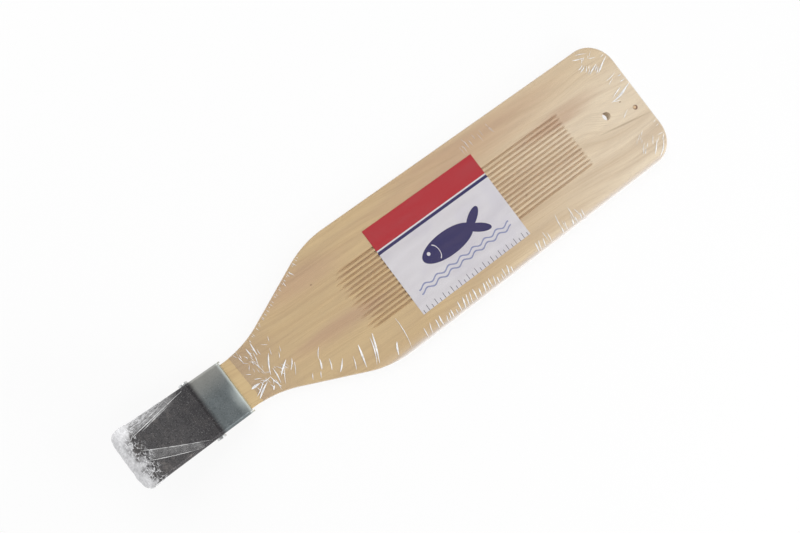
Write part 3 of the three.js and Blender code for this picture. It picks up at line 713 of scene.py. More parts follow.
def stretched_film():
    """Clear polyolefin film, shrunk tight: faintly hazy, whiter at the neck and edges, whiter on the
    near side as painted light too.
    """
    sizes = bpy.context.scene.film
    material, tree, shader, mm = start_material("polyolefin_film_shrunk")
    low, high = (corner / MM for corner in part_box("board"))
    neck = low.x + sizes.neck_edge / MM
    top = high.z + sizes.lift / MM
    side = low.y + SIDE_HAZE
    parts = put(tree, "SeparateXYZ", (mm,)).node.outputs
    haze = put(tree, "MapRange", {
        "Value": blotches(tree, mm, FILM_CLOUDS), "From Min": 0.35, "From Max": 0.7,
        "To Min": BLADE_WHITE[0], "To Max": BLADE_WHITE[1],
    })
    ramps = (
        (parts["X"], neck, neck + NECK_HAZE, NECK_WHITE),
        (parts["Z"], top - EDGE_HAZE, top, EDGE_WHITE),
        (parts["Y"], low.y, side, SIDE_HAZE_AND_LIGHT),
    )
    over_neck, over_edges, over_side = (
        put(tree, "MapRange", {
            "Value": part, "From Min": start, "From Max": end, "To Min": most, "To Max": 0.0,
        }) for part, start, end, most in ramps
    )
    # On the near side the haze, which is also painted light on the lit near edge, falls off quickly and
    # stays near the top
    over_side = put(tree, "Math", (over_side, SIDE_FALL), operation="POWER")
    upper = put(tree, "MapRange", {
        "Value": parts["Z"], "From Min": top - 2 * EDGE_HAZE, "From Max": top - EDGE_HAZE,
    })
    over_side = put(tree, "Math", (over_side, upper), operation="MULTIPLY")
    for share in (over_neck, over_edges, over_side):
        haze = put(tree, "Math", (haze, share), operation="ADD")
    tree.links.new(haze, shader.inputs["Alpha"])
    white = linear("#fbf7f4")
    base = layer(tree, white, linear("#a8959a"), parts["Z"], top - EDGE_HAZE, top, most=1.0)
    # The film is white along the near side: haze, and painted light on the lit edge
    base = layer(tree, white, base, parts["Y"], side, side + SIDE_HAZE, most=1.0)
    tree.links.new(base, shader.inputs["Base Color"])
    shader.inputs["Roughness"].default_value = 0.15
    return material


def gathered_film():
    """Clear film drawn in round the thumb plate's rolled end: greyish white, with bright crinkles,
    partly painted highlights.
    """
    material, tree, shader, mm = start_material("polyolefin_film_gathered")
    low, high = (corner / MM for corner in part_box("jaw_lever"))
    parts = put(tree, "SeparateXYZ", (mm,)).node.outputs

    # The film is gathered further in on one side of the plate, and unevenly all over
    cloud = blotches(tree, mm, GATHER_CLOUDS, detail=2.0)
    reach = put(tree, "Math", (cloud, GATHER_REACH, low.x + GATHER_FROM), operation="MULTIPLY_ADD")
    side = {"Value": parts["Y"], "From Min": high.y / 2, "From Max": high.y, "To Max": SIDE_GATHER}
    reach = put(tree, "Math", (reach, put(tree, "MapRange", side)), operation="ADD")
    inside = put(tree, "Math", (reach, parts["X"]), operation="SUBTRACT")
    gathered = put(tree, "MapRange", (inside, *GATHER_EDGE))
    veil = put(tree, "MapRange", {
        "Value": blotches(tree, mm, GATHER_WRINKLES), "From Min": 0.35, "From Max": 0.65,
        "To Min": GATHER_WHITE[0], "To Max": GATHER_WHITE[1],
    })
    veil = put(tree, "Math", (veil, gathered), operation="MULTIPLY")

    # Bright crinkles, whitened folds and painted highlights, run through the edge of the gathered part
    crinkle = blotches(tree, mm, GATHER_CRINKLES, detail=2.0)
    fold = put(tree, "Math", (crinkle, 0.5), operation="SUBTRACT")
    fold = put(tree, "Math", (fold,), operation="ABSOLUTE")
    fold = put(tree, "MapRange", {"Value": fold, "From Max": CRINKLE_LINE, "To Min": 1.0, "To Max": 0.0})
    away = put(tree, "Math", (inside,), operation="ABSOLUTE")
    away = {"Value": away, "From Max": CRINKLE_REACH, "To Min": CRINKLE_WHITE, "To Max": 0.0}
    fold = put(tree, "Math", (fold, put(tree, "MapRange", away)), operation="MULTIPLY")

    # A streaky haze along the same side dies out towards the bend
    rim = {"Value": parts["Y"], "From Min": high.y - RIM_HAZE, "From Max": high.y, "To Max": RIM_WHITE}
    fade = {"Value": parts["X"], "From Min": low.x + RIM_FADE[0], "From Max": low.x + RIM_FADE[1],
            "To Min": 1.0, "To Max": 0.0}
    streak = {"Value": blotches(tree, mm, RIM_STREAKS), "From Min": 0.38, "From Max": 0.62,
              "To Min": 0.2}
    rim, fade, streak = (put(tree, "MapRange", inputs) for inputs in (rim, fade, streak))
    for share in (fade, streak):
        rim = put(tree, "Math", (rim, share), operation="MULTIPLY")

    alpha = veil
    for share in (fold, rim, THUMB_WHITE):
        alpha = put(tree, "Math", (alpha, share), operation="MAXIMUM")
    tree.links.new(alpha, shader.inputs["Alpha"])
    shader.inputs["Base Color"].default_value = linear("#f4f4f6")
    shader.inputs["Roughness"].default_value = 0.18
    return material


def pinched_film(name, least, most):
    """Film pinched into a crease: white where its folded layers scatter light, and white as a painted
    highlight.
    """
    material, tree, shader, mm = start_material(name)
    cloud = blotches(tree, mm, PINCH_CLOUDS, detail=2.0)
    # White as the folded film, and as a painted highlight where the crease would glint
    shader.inputs["Base Color"].default_value = WHITE
    shader.inputs["Roughness"].default_value = 0.25
    put(tree, "MapRange", {
        "Value": cloud, "From Min": 0.35, "From Max": 0.65, "To Min": least, "To Max": most,
    }, to=shader.inputs["Alpha"])
    return material


# Shapes

CORNER_SEGMENTS = 24
EDGE_SEGMENTS = 4
GROOVE_SIDES = 24
RUNOUT_STEPS = 6
GROOVE_SEED = 7
TURNED_SIDES = 48
CUT_MARGIN = 1 * MM
RIVET_PLACES = ("front_left", "front_right", "rear")


def round_corners(piece, test, radius, half_angle):
    """Rounds the picked corners of a flat outline with arcs of a radius."""
    pick(piece, "VERT", test)
    # The profile value at which a bevel across this angle is a true arc
    arc = (1 - 1 / (2 * (1 + math.sin(half_angle)))) ** 2
    bpy.ops.mesh.bevel(affect="VERTICES", offset_type="OFFSET", offset=radius / math.tan(half_angle),
                       segments=CORNER_SEGMENTS, profile=arc, clamp_overlap=False)


def paddle_blank(name):
    """The paddle before its cuts: blade, taper and handle in one outline, with eased edges."""
    sizes = bpy.context.scene.paddle
    low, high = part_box("board")
    width = high.y - low.y
    neck_x = low.x + sizes.neck_from_end
    shoulder_x = neck_x + sizes.taper
    piece = start_plate(name, ((shoulder_x + high.x) / 2, 0, 0), (high.x - shoulder_x, width))
    pick(piece, "EDGE", lambda co: near(co.x, shoulder_x))
    extrude((-sizes.taper, 0, 0))
    narrow = sizes.handle_width / width
    bpy.ops.transform.resize(value=(1, narrow, 1), center_override=(neck_x, 0, 0))
    extrude((-sizes.neck_from_end, 0, 0))
    bpy.ops.mesh.select_all(action="SELECT")
    bpy.ops.mesh.dissolve_limited(angle_limit=FLAT_ANGLE)

    lean = math.atan2((width - sizes.handle_width) / 2, sizes.taper)
    square = math.radians(45)
    slight = math.pi / 2 - lean / 2
    round_corners(piece, lambda co: near(co.x, high.x), sizes.end_corner, square)
    round_corners(piece, lambda co: near(co.x, low.x), sizes.handle_corner, square)
    round_corners(piece, lambda co: near(co.x, shoulder_x), sizes.shoulder, slight)
    round_corners(piece, lambda co: near(co.x, neck_x), sizes.neck, slight)

    bpy.ops.mesh.select_all(action="SELECT")
    extrude((0, 0, high.z))
    for level in (0, high.z):
        pick(piece, "EDGE", lambda co: near(co.z, level))
        bpy.ops.mesh.bevel(affect="EDGES", offset=sizes.edge_round, segments=EDGE_SEGMENTS,
                           profile=0.5, clamp_overlap=False)
    close_shape()
    return piece


def groove_field():
    """Where the grooves start at the clamp end and stop at the free end."""
    sizes = bpy.context.scene.grooves
    paddle = bpy.context.scene.paddle
    low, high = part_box("board")
    first = low.x + paddle.neck_from_end + paddle.taper + sizes.past_shoulder
    return first, high.x - sizes.from_end


def groove_cutters():
    """Round-nosed cutters that dip in unevenly at the clamp end and lift out at the free end."""
    sizes = bpy.context.scene.grooves
    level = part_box("board")[1].z + sizes.depth
    start, end = groove_field()
    draw = random.Random(GROOVE_SEED)
    shares = [k / RUNOUT_STEPS for k in range(RUNOUT_STEPS + 1)]
    lifts = [(share, sizes.depth * (1 - share) ** 2) for share in shares]
    cutters = start_empty("groove_cutters")
    for i in range(sizes.count):
        y = (i - (sizes.count - 1) / 2) * sizes.pitch - sizes.off_centre
        first = start + draw.uniform(-sizes.uneven, sizes.uneven)
        place = (first, y, level)
        bpy.ops.mesh.primitive_circle_add(vertices=GROOVE_SIDES, radius=sizes.width / 2,
                                          fill_type="NGON", location=place, rotation=(0, math.pi / 2, 0))
        bpy.ops.transform.resize(value=(1, 1, 2 * sizes.depth / sizes.width), center_override=place)
        # Where the cutter is along the groove, and how far it is lifted
        path = [(first + sizes.clamp_runout * share, lift) for share, lift in lifts]
        path += [(end - sizes.end_runout * share, lift) for share, lift in lifts[::-1]]
        draw_out(place, [((b[0] - a[0], 0, b[1] - a[1]), (1, 1, 1)) for a, b in zip(path, path[1:])])
    close_shape()
    return cutters


def bore_cutters():
    """Cutters for the hanging hole, with its eased rims, and for the rivets' holes and counterbores."""
    sizes = bpy.context.scene.paddle
    clamp = bpy.context.scene.clamp
    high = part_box("board")[1]
    over = high.z + CUT_MARGIN
    radius = sizes.hole / 2
    chamfer = sizes.hole_chamfer
    wide = radius + chamfer + CUT_MARGIN
    cutters = start_empty("bore_cutters")
    turn((high.x - sizes.hole_from_end, -sizes.hole_off_centre, 0), [
        (wide, -CUT_MARGIN), (radius, chamfer), (radius, high.z - chamfer), (wide, over),
    ], axis=2)
    shank = clamp.rivet_shank / 2 + clamp.hole_clearance
    for place in RIVET_PLACES:
        washer_low, washer_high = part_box(f"washer_{place}")
        bore = (washer_high.x - washer_low.x) / 2 + clamp.bore_clearance
        turn((*middle(f"rivet_{place}").xy, 0), [
            (bore, -CUT_MARGIN), (bore, washer_high.z), (shank, washer_high.z), (shank, over),
        ], axis=2)
    close_shape()
    return cutters


def cut_away(piece, cutters):
    """Cuts one piece by another, which is then gone."""
    apply_modifier(piece, "BOOLEAN", object=cutters, operation="DIFFERENCE", solver="EXACT")
    bpy.data.objects.remove(cutters)


class FILLET_OT_board(bpy.types.Operator):
    """Model the wooden paddle with its grooves, hanging hole and rivet holes"""

    bl_idname = "fillet.board"
    bl_label = "Wooden Paddle"

    def execute(self, context):
        piece = paddle_blank("wooden_paddle")
        cut_away(piece, groove_cutters())
        cut_away(piece, bore_cutters())
        smooth(piece)
        finish_piece(piece, pale_poplar(), "root", "board")
        return {"FINISHED"}


class FILLET_OT_label(bpy.types.Operator):
    """Lay the paper label on the grooved face"""

    bl_idname = "fillet.label"
    bl_label = "Paper Label"

    def execute(self, context):
        low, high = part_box("paper_label")
        size = high - low
        piece = start_plate("printed_label", (*middle("paper_label").xy, low.z), size.xy)
        extrude((0, 0, size.z))
        close_shape()
        finish_piece(piece, coated_paper(), "root", "paper_label")
        return {"FINISHED"}


class FILLET_OT_clamp_base(bpy.types.Operator):
    """Finish the clamp's base channel"""

    bl_idname = "fillet.clamp_base"
    bl_label = "Clamp Base"

    def execute(self, context):
        pressed_sheet("clamp_base", "clamp_base_channel", "zinc_plated_base", "root")
        return {"FINISHED"}


class FILLET_OT_jaw_lever(bpy.types.Operator):
    """Finish the pressed lever with its jaw, toothed lip and thumb plate"""

    bl_idname = "fillet.jaw_lever"
    bl_label = "Jaw Lever"

    def execute(self, context):
        pressed_sheet("jaw_lever", "pressed_jaw_lever", "zinc_plated_pressing", "lever")
        return {"FINISHED"}


# Share of a pin head's thickness that is eased, and share of that by which the ease bulges
HEAD_EASE = 1 / 3


class FILLET_OT_pin(bpy.types.Operator):
    """Turn the pivot pin with its two heads"""

    bl_idname = "fillet.pin"
    bl_label = "Pivot Pin"

    def execute(self, context):
        sizes = context.scene.clamp
        low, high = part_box("pivot_pin")
        head, end, _ = (high - low) / 2
        inner = end - sizes.pin_head
        ease = sizes.pin_head * HEAD_EASE
        bulge = ease * HEAD_EASE
        side = [(head - ease, end), (head - bulge, end - bulge), (head, end - ease), (head, inner),
                (sizes.pin / 2, inner)]
        profile = [(radius, -place) for radius, place in side] + side[::-1]
        piece = turned_piece("pivot_pin_turned", middle("pivot_pin"), profile, axis=1)
        smooth(piece)
        steel = bright_steel("zinc_plated_turned_pin", context.scene.finishes.pin)
        finish_piece(piece, steel, "root", "pivot_pin")
        return {"FINISHED"}


WIRE_SIDES = 14
STEPS_PER_TURN = 32


class FILLET_OT_spring(bpy.types.Operator):
    """Wind the torsion spring round the pin, with a leg on the base and a leg under the thumb plate"""

    bl_idname = "fillet.spring"
    bl_label = "Torsion Spring"

    def execute(self, context):
        sizes = context.scene.clamp
        centre = middle("pivot_pin")
        turned = sizes.turns * 2 * math.pi + math.pi - sizes.thumb_slope
        width = sizes.coil_pitch * turned / (2 * math.pi)
        piece = start_piece("torsion_spring_wound", bpy.ops.mesh.primitive_circle_add,
                            vertices=WIRE_SIDES, radius=sizes.wire / 2,
                            location=(0, -width / 2, -sizes.coil / 2), rotation=(0, math.pi / 2, 0))
        set_mode("OBJECT")
        steps = round(turned / (2 * math.pi) * STEPS_PER_TURN)
        apply_modifier(piece, "SCREW", axis="Y", angle=-turned, screw_offset=width, steps=steps,
                       render_steps=steps, iterations=1, use_smooth_shade=True)
        set_mode("EDIT")
        on_base = (-sizes.base_leg, 0, 0)
        slope = Vector((-math.cos(sizes.thumb_slope), 0, math.sin(sizes.thumb_slope)))
        for side, leg in ((-1, on_base), (1, slope * sizes.lever_leg)):
            pick(piece, "EDGE", lambda co: co.y * side > 0, rim=True)
            bpy.ops.mesh.edge_face_add()
            extrude(leg)
        close_shape()
        piece.data.transform(Matrix.Translation(centre))
        smooth(piece)
        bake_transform(piece)
        steel = bright_steel("oiled_spring_wire", context.scene.finishes.wire)
        finish_piece(piece, steel, node="torsion_spring")
        return {"FINISHED"}


DOME_STEPS = 8


def dome(radius, base, height):
    """Radius and height of points up a domed head, from its rim almost to its crown."""
    angles = [math.pi / 2 * k / DOME_STEPS for k in range(DOME_STEPS)]
    return [(radius * math.cos(a), base + height * math.sin(a)) for a in angles]


def set_rivet(place):
    """One rivet, with its domed head and its clinched tail."""
    sizes = bpy.context.scene.clamp
    low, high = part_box(f"rivet_{place}")
    shank = sizes.rivet_shank / 2
    tail = dome(sizes.rivet_tail_width / 2, low.z + sizes.rivet_tail, -sizes.rivet_tail)
    head = dome((high.x - low.x) / 2, high.z - sizes.rivet_head, sizes.rivet_head)
    profile = tail[::-1] + [(shank, tail[0][1]), (shank, head[0][1])] + head
    piece = turned_piece(f"rivet_{place}_set", (*middle(f"rivet_{place}").xy, 0), profile, axis=2)
    smooth(piece)
    return piece


def punched_washer(place):
    """One washer, with its edges broken."""
    sizes = bpy.context.scene.clamp
    low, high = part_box(f"washer_{place}")
    inner = sizes.rivet_shank / 2 + sizes.hole_clearance
    outer = (high.x - low.x) / 2
    ring = [(inner, low.z), (outer, low.z), (outer, high.z), (inner, high.z), (inner, low.z)]
    piece = turned_piece(f"washer_{place}_punched", (*middle(f"rivet_{place}").xy, 0), ring, axis=2,
                         fill="NOTHING")
    break_edges(piece, sizes.washer_edge)
    smooth(piece)
    return piece


class FILLET_OT_rivets(bpy.types.Operator):
    """Set the three rivets and their washers"""

    bl_idname = "fillet.rivets"
    bl_label = "Rivets and Washers"

    def execute(self, context):
        steel = bright_steel("zinc_plated_rivet", context.scene.finishes.rivet)
        first = RIVET_PLACES[0]
        models = (("rivet", "set", set_rivet(first)), ("washer", "punched", punched_washer(first)))
        for place in RIVET_PLACES:
            move = Matrix.Translation(middle(f"rivet_{place}") - middle(f"rivet_{first}"))
            for kind, made, model in models:
                node = f"{kind}_{place}"
                piece = model if place == first else copy_of(model, f"{node}_{made}")
                piece.data.transform(move)
                finish_piece(piece, steel, "root", node)
        return {"FINISHED"}


# Film

PINCH_SIDES = 6
# Width of a crease and of a broad fold along their length, as shares
CREASE_SWELL = ((0.0, 0.2), (0.2, 0.75), (0.45, 1.0), (0.75, 0.6), (1.0, 0.15))
FOLD_SWELL = ((0.0, 0.1), (0.12, 0.95), (0.5, 0.85), (1.0, 0.6))
CREASE_BOW = 0.06
THUMB_BOW = 0.02
# Creases in millimetres on the board, each with its two ends and its width
NECK_CREASES = (
    ((-213, -10), (-204, -10), 2.6), ((-212, -21), (-198, -13), 1.9), ((-213, -18), (-200, -10), 1.0),
    ((-202, -11), (-193, -11), 1.0), ((-193, -11), (-190, -24), 1.1), ((-187, -6), (-189, -21), 1.2),
    ((-191, -15), (-192, -26), 0.8), ((-182, 7), (-192, -10), 1.5), ((-195, -19), (-198, -22), 1.6),
    ((-173, -7), (-185, -16), 1.7), ((-178, -12), (-186, -24), 0.7), ((-168, -9), (-175, -17), 1.2),
    ((-168, -13), (-174, -23), 0.7), ((-190, 24), (-191, 11), 1.3), ((-196, 22), (-196, 12), 1.2),
    ((-198, 9), (-195, -7), 0.7), ((-206, 20), (-205, 12), 0.8), ((-193, 15), (-197, 1), 0.7),
)
TAPER_CREASES = (
    ((-140, -45), (-131, -36), 1.4), ((-152, -33), (-148, -24), 1.6), ((-145, -39), (-141, -29), 1.0),
    ((-112, -35), (-118, -56), 1.9), ((-95, -34), (-106, -60), 1.9), ((-99, -36), (-109, -60), 1.2),
    ((-81, -54), (-87, -65), 2.0), ((-69, -36), (-73, -67), 0.8), ((-124, 55), (-121, 50), 0.9),
    ((-142, -15), (-149, -24), 0.9), ((-127, -52), (-122, -40), 0.9), ((-116, 60), (-114, 56), 0.8),
    ((-133, 51), (-133, 46), 0.8), ((-161, -31), (-164, -36), 0.9), ((-154, -34), (-157, -39), 0.9),
)
END_CREASES = (
    ((241, 63.5), (254, 59), 1.0), ((240, 49), (249, 52), 1.2), ((248, 42), (261, 47), 1.4),
    ((256.5, 38), (276, 48), 1.6), ((278, 12), (260, 8), 1.4), ((271, 9), (248, 6), 1.9),
    ((268, 14), (252, 9), 1.0), ((252, -62), (264, -51), 1.3), ((255, -67), (270, -56), 1.2),
    ((262, -64), (273, -52), 0.9), ((258, 27), (272, 29), 0.8), ((248, -14), (258, -9), 0.8),
    ((247, 66), (259, 61), 0.7), ((257, 56), (265, 53), 0.7), ((240, 52), (248, 54), 0.8),
    ((269, 50), (274, 51), 0.7), ((258, 22), (266, 25), 0.7), ((272, 24), (277, 24), 0.9),
    ((270, 18), (277, 18), 0.9), ((250, 6), (258, 3), 0.8), ((268, -48), (276, -49), 0.7),
    ((273, -35), (277, -34), 0.6), ((273, -40), (277, -39), 0.6), ((268, -55), (275, -50), 0.7),
    ((123, -49), (120, -65.5), 0.9), ((138.5, -51), (136, -67), 1.0), ((143, -56), (144.5, -65), 0.8),
    ((101, -55), (101, -66), 0.8), ((125.5, -57), (124, -66), 0.5), ((136.5, -57.5), (134.5, -65), 0.5),
)
# Lines and broad folds in millimetres over the thumb plate, measured from the bend and across
THUMB_LINES = (
    ((-71, 15.5), (-9, 24), 1.0), ((-60, 15), (-28, 20), 0.8), ((-71, 2.6), (-15, -24), 0.8),
    ((-72, -7), (-27, -25), 0.8), ((-60, 20), (-30, 25), 0.8),
)
THUMB_FOLDS = (((-71, -2.2), (-22, -24), 8), ((-73, 21.5), (-16, 25.5), 9))
# Rows of short creases in millimetres: along the near side, and up the far side of the taper
ROW_RUNS = ((-54, 54), (86, 110), (119, 152))
ROW_GAPS = (3.5, 4.5, 5.5, 5.5, 8)
ROW_REACH = (5, 11)
ROW_LEAN = (0.1, 0.4)
ROW_WIDTH = (0.8, 1.7)
ROW_FROM_EDGE = 1.5
TAPER_ROW = 26
TAPER_ROW_START = Vector((-190, 26))
TAPER_ROW_RUN = Vector((82, 37))
TAPER_ROW_REACH = (1.5, 3.5)
TAPER_ROW_LEAN = 0.3
TAPER_ROW_WIDTH = (0.4, 0.7)
# Fields of fine creases in millimetres: how many, their box, their headings, lengths and widths
CRAZED_FIELDS = (
    (44, (-209, -172), (-20, 21), (60, 150), (2.5, 7), (0.35, 0.6)),
    (14, (240, 262), (38, 58), (25, 50), (4, 9), (0.4, 0.9)),
    (14, (240, 262), (-58, -38), (25, 50), (4, 9), (0.4, 0.9)),
    (15, (84, 124), (57, 64), (-92, -76), (5, 11), (0.22, 0.36)),
)
NECK_EDGE_LEAN = 0.05
THUMB_GRID = (70, 44)
SKIRT_ROWS = 8
CRUMPLED_END = 16 * MM
CRUMPLE_SIZE = 4 * MM


def pinch(start, end, width, height, bow, shape):
    """In edit mode, adds one crease: a low ridge that swells and dies out along a bowed line."""
    run = end - start
    aside = Vector((-run.y, run.x, 0)) * bow
    heading = math.atan2(run.y, run.x)
    bpy.ops.mesh.primitive_circle_add(vertices=PINCH_SIDES, radius=width / 2 * shape[0][1],
                                      fill_type="NGON", location=start,
                                      rotation=(0, math.pi / 2, heading))
    bpy.ops.transform.resize(value=(1, 1, height / width), center_override=start)
    # The bow is a parabola that is highest half-way
    steps = []
    for (share, swell), (next_share, next_swell) in zip(shape, shape[1:]):
        sideways = 4 * (next_share * (1 - next_share) - share * (1 - share))
        scale = next_swell / swell
        steps.append((run * (next_share - share) + aside * sideways, (scale, scale, scale)))
    draw_out(start, steps)


def creases(name, lines, level, height, bow, shape):
    """A piece of many creases at one level, each with its two ends and its width in millimetres."""
    draw = random.Random(name)
    piece = start_empty(name)
    for start, end, width in lines:
        start, end = (Vector((*place, level / MM)) * MM for place in (start, end))
        pinch(start, end, width * MM, height, draw.uniform(-bow, bow), shape)
    close_shape()
    smooth(piece)
    return piece


def row_creases():
    """Short creases in rows along the near side and up the far side of the taper, in millimetres."""
    draw = random.Random("rows")
    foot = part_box("board")[0].y / MM + ROW_FROM_EDGE
    lines = []
    for x, last in ROW_RUNS:
        while x < last:
            reach = draw.uniform(*ROW_REACH)
            lean = draw.uniform(*ROW_LEAN) * reach
            lines.append(((x + lean, foot + reach), (x, foot), draw.uniform(*ROW_WIDTH)))
            x += draw.choice(ROW_GAPS)
    for k in range(TAPER_ROW):
        place = TAPER_ROW_START + TAPER_ROW_RUN * (k + draw.random()) / TAPER_ROW
        reach = draw.uniform(*TAPER_ROW_REACH)
        end = place + Vector((TAPER_ROW_LEAN, -1)) * reach
        lines.append((place, end, draw.uniform(*TAPER_ROW_WIDTH)))
    return lines


def crazed_creases():
    """Fine creases scattered over the neck, the two far corners and the far side, in millimetres."""
    draw = random.Random("crazing")
    lines = []
    for count, across_x, across_y, headings, lengths, widths in CRAZED_FIELDS:
        for _ in range(count):
            start = Vector((draw.uniform(*across_x), draw.uniform(*across_y)))
            heading = math.radians(draw.uniform(*headings))
            end = start + Vector((math.cos(heading), math.sin(heading))) * draw.uniform(*lengths)
            lines.append((start, end, draw.uniform(*widths)))
    return lines


def blade_film():
    """The film over the blade: the paddle's shape, lifted off the wood, cut at the neck and floor."""
    sizes = bpy.context.scene.film
    piece = paddle_blank("shrink_film_blade")
    apply_modifier(piece, "DISPLACE", strength=sizes.lift, mid_level=0)
    set_mode("EDIT")
    neck = (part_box("board")[0].x + sizes.neck_edge, 0, 0)
    for place, direction in ((neck, (1, NECK_EDGE_LEAN, 0)), ((0, 0, sizes.lift), (0, 0, 1))):
        bpy.ops.mesh.select_all(action="SELECT")
        bpy.ops.mesh.bisect(plane_co=place, plane_no=direction, clear_inner=True)
    set_mode("OBJECT")
    apply_modifier(piece, "SOLIDIFY", thickness=sizes.thickness, offset=1)
    smooth(piece)
    return piece


def thumb_plate():
    """The place and slope of the thumb plate: its origin on the bend, with the plate along minus X."""
    sizes = bpy.context.scene.clamp
    bend = middle("pivot_pin") + Vector((sizes.bend_ahead, 0, sizes.bend_above))
    return Matrix.Translation(bend) @ Matrix.Rotation(sizes.thumb_slope, 4, "Y")


def thumb_film():
    """The film over the thumb plate: a sheet with skirts behind the pin, drawn on and crumpled."""
    sizes = bpy.context.scene.film
    low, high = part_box("jaw_lever")
    width = high.y - low.y + 2 * sizes.lift
    front = -sizes.thumb_edge
    back = front - sizes.thumb_length
    piece = start_piece("shrink_film_thumb", bpy.ops.mesh.primitive_grid_add,
                        x_subdivisions=THUMB_GRID[0], y_subdivisions=THUMB_GRID[1], size=1)
    bpy.ops.transform.resize(value=(sizes.thumb_length, width, 1), center_override=(0, 0, 0))
    bpy.ops.transform.translate(value=((front + back) / 2, 0, 2 * sizes.lift))

    def has_skirt(co):
        behind_pin = co.x < front - sizes.thumb_skirt
        return near(co.x, back) or behind_pin and near(abs(co.y), width / 2)

    pick(piece, "EDGE", has_skirt)
    for _ in range(SKIRT_ROWS):
        extrude((0, 0, -sizes.thumb_skirt / SKIRT_ROWS))
    set_mode("OBJECT")
    piece.data.transform(thumb_plate())
    apply_modifier(piece, "SHRINKWRAP", target=bpy.data.objects["pressed_jaw_lever"], offset=sizes.lift,
                   wrap_method="NEAREST_SURFACEPOINT", wrap_mode="OUTSIDE_SURFACE")

    set_mode("EDIT")
    pick(piece, "VERT", lambda co: co.x < low.x + CRUMPLED_END)
    bpy.ops.object.vertex_group_assign_new()
    bpy.ops.mesh.select_all(action="SELECT")
    bpy.ops.mesh.normals_make_consistent(inside=False)
    set_mode("OBJECT")
    crumple = bpy.data.textures.new("film_crumple", "CLOUDS")
    crumple.noise_scale = CRUMPLE_SIZE
    apply_modifier(piece, "DISPLACE", texture=crumple, texture_coords="LOCAL", strength=sizes.crumple,
                   mid_level=0, vertex_group=piece.vertex_groups[0].name)
    apply_modifier(piece, "SOLIDIFY", thickness=sizes.thickness, offset=1)
    smooth(piece)
    return piece


class FILLET_OT_film(bpy.types.Operator):
    """Shrink the clear film over the blade and over the thumb plate, with its creases"""

    bl_idname = "fillet.film"
    bl_label = "Shrink Film"

    def execute(self, context):
        sizes = context.scene.film
        height = sizes.crease_height
        finish_piece(blade_film(), stretched_film(), "root")
        lines = [*NECK_CREASES, *TAPER_CREASES, *END_CREASES, *row_creases(), *crazed_creases()]
        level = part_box("board")[1].z + sizes.lift + sizes.thickness / 2
        piece = creases("film_creases_blade", lines, level, height, CREASE_BOW, CREASE_SWELL)
        finish_piece(piece, pinched_film("polyolefin_film_pinched", least=0.65, most=1.0), "root")

        finish_piece(thumb_film(), gathered_film(), "lever")
        level = sizes.lift + sizes.thickness
        folds = creases("film_folds_thumb", THUMB_FOLDS, level, height / 2, 0, FOLD_SWELL)
        lines = creases("film_creases_thumb", THUMB_LINES, level, height, THUMB_BOW, CREASE_SWELL)
        for piece, film in ((folds, pinched_film("polyolefin_film_folded", least=0.03, most=0.07)),
                            (lines, pinched_film("polyolefin_film_lined", least=0.2, most=0.5))):
            piece.data.transform(thumb_plate())
            finish_piece(piece, film, "lever")
        return {"FINISHED"}


# Stage

CAMERA_PLACE = Vector((-353.1, -26.7, 990.9)) * MM
CAMERA_LENS = 50
CAMERA_SENSOR = 36
PICTURE_TURN = math.radians(36.86)
TILT_ALONG = math.radians(17.95)
TILT_ACROSS = math.radians(1.46)
FLOOR_SIZE = 12
# Share of the floor that is plain white to the rays that show it. The rest keeps the shadow.
FLOOR_WHITE = 0.88
# Strength of the world: its light, and what rays show by their height, white low down and grey overhead
WORLD_LIGHT = 0.45
WORLD_HEIGHTS = (0.15, 0.7)
WORLD_OVERHEAD = 0.42
# Soft lamps: name, place and size in metres, watts, and whether metal mirrors them. The low lamp lights
# the film on the near side, and its mirror image would bleach the sheet metal.
LAMPS = (
    ("key_softbox", (-0.2, 1.3, 1.3), 1.8, 19, True),
    ("fill_softbox", (0.9, -0.9, 1.6), 1.2, 9, True),
    ("side_softbox", (0.5, -1.5, 0.4), 1.0, 18, False),
)


def seen_rays(tree):
    """1 for the rays that show the background: straight, mirrored or through glass."""
    path = put(tree, "LightPath").node.outputs
    either = put(tree, "Math", (path["Is Camera Ray"], path["Is Glossy Ray"]), operation="MAXIMUM")
    return put(tree, "Math", (either, path["Is Transmission Ray"]), operation="MAXIMUM")


def lay_floor():
    """A plain white floor that keeps the board's shadow."""
    floor = start_piece("floor", bpy.ops.mesh.primitive_plane_add, size=FLOOR_SIZE)
    set_mode("OBJECT")
    material, tree, shader, _ = start_material("white_floor")
    shader.inputs["Base Color"].default_value = linear("#f0f0f0")
    shader.inputs["Roughness"].default_value = 0.9
    glow = put(tree, "Emission", {"Color": WHITE, "Strength": 1.0})
    share = put(tree, "Math", (seen_rays(tree), FLOOR_WHITE), operation="MULTIPLY")
    put(tree, "MixShader", (share, shader.outputs["BSDF"], glow),
        to=tree.nodes["Material Output"].inputs["Surface"])
    floor.data.materials.append(material)


def light_world():
    """A white studio that lights the board softly from all round."""
    world = bpy.data.worlds.new("soft_studio")
    world.use_nodes = True
    tree = world.node_tree
    direction = put(tree, "TexCoord").node.outputs["Generated"]
    height = put(tree, "SeparateXYZ", (direction,)).node.outputs["Z"]
    seen = put(tree, "MapRange", (height, *WORLD_HEIGHTS, 1.0, WORLD_OVERHEAD))
    background = tree.nodes["Background"].inputs
    background["Color"].default_value = WHITE
    # The mix node's sockets 2 and 3 are its two numbers
    put(tree, "Mix", {0: seen_rays(tree), 2: WORLD_LIGHT, 3: seen}, data_type="FLOAT",
        to=background["Strength"])
    bpy.context.scene.world = world


def add_lamp(name, place, size, watts, mirrored):
    """A square soft lamp that faces the board's middle."""
    data = bpy.data.lights.new(name, "AREA")
    data.shape = "SQUARE"
    data.size = size
    data.energy = watts
    lamp = bpy.data.objects.new(name, data)
    lamp.location = place
    lamp.rotation_euler = (-Vector(place)).to_track_quat("-Z", "Y").to_euler()
    lamp.visible_glossy = mirrored
    bpy.context.scene.collection.objects.link(lamp)


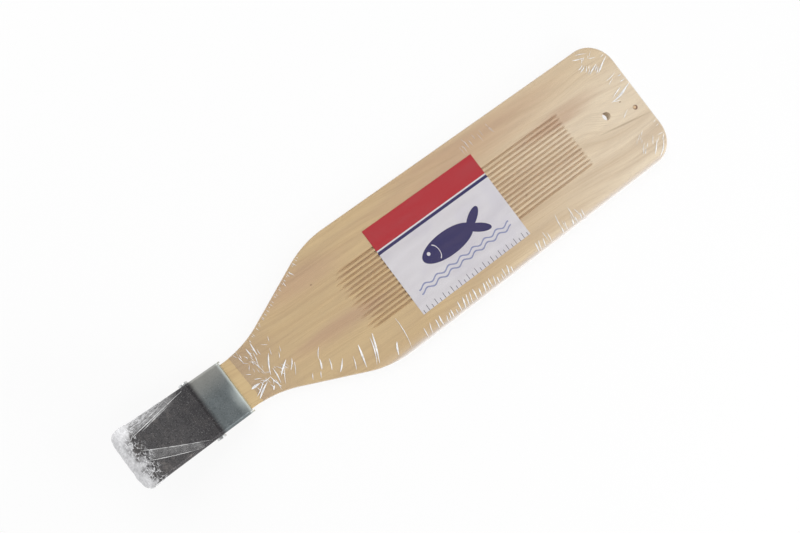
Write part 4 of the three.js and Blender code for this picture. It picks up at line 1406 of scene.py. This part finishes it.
def set_camera():
    """The camera, at the photograph's place and tilt."""
    camera = bpy.data.objects.new("photo_camera", bpy.data.cameras.new("photo_camera"))
    camera.data.lens = CAMERA_LENS
    camera.data.sensor_width = CAMERA_SENSOR
    tilt = Matrix.Rotation(-TILT_ALONG, 4, "Y") @ Matrix.Rotation(TILT_ACROSS, 4, "X")
    turned = tilt @ Matrix.Rotation(-PICTURE_TURN, 4, "Z")
    camera.matrix_world = Matrix.Translation(CAMERA_PLACE) @ turned
    bpy.context.scene.collection.objects.link(camera)
    bpy.context.scene.camera = camera


class FILLET_OT_stage(bpy.types.Operator):
    """Set the white floor, the soft lamps, the world and the camera"""

    bl_idname = "fillet.stage"
    bl_label = "Stage"

    def execute(self, context):
        lay_floor()
        light_world()
        for lamp in LAMPS:
            add_lamp(*lamp)
        set_camera()
        context.scene.view_settings.view_transform = "Standard"
        return {"FINISHED"}


class FILLET_PT_panel(bpy.types.Panel):
    """Lists the steps that build the fillet board"""

    bl_idname = "FILLET_PT_panel"
    bl_label = "Fillet Board"
    bl_space_type = "VIEW_3D"
    bl_region_type = "UI"
    bl_category = "Fillet Board"

    def draw(self, context):
        for step in STEPS:
            self.layout.operator(step.bl_idname)


STEPS = (
    FILLET_OT_board, FILLET_OT_label, FILLET_OT_clamp_base, FILLET_OT_jaw_lever, FILLET_OT_pin,
    FILLET_OT_spring, FILLET_OT_rivets, FILLET_OT_film, FILLET_OT_stage,
)
CLASSES = (*SIZES.values(), *STEPS, FILLET_PT_panel)


def register():
    """Adds the steps, the panel and the settings to Blender."""
    for cls in CLASSES:
        bpy.utils.register_class(cls)
    for name, cls in SIZES.items():
        setattr(bpy.types.Scene, name, PointerProperty(type=cls))


def unregister():
    """Takes them away again."""
    for name in SIZES:
        delattr(bpy.types.Scene, name)
    for cls in reversed(CLASSES):
        bpy.utils.unregister_class(cls)


def main():
    """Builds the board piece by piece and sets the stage."""
    register()
    bpy.ops.fillet.board()
    bpy.ops.fillet.label()
    bpy.ops.fillet.clamp_base()
    bpy.ops.fillet.jaw_lever()
    bpy.ops.fillet.pin()
    bpy.ops.fillet.spring()
    bpy.ops.fillet.rivets()
    bpy.ops.fillet.film()
    bpy.ops.fillet.stage()


if __name__ == "__main__":
    main()
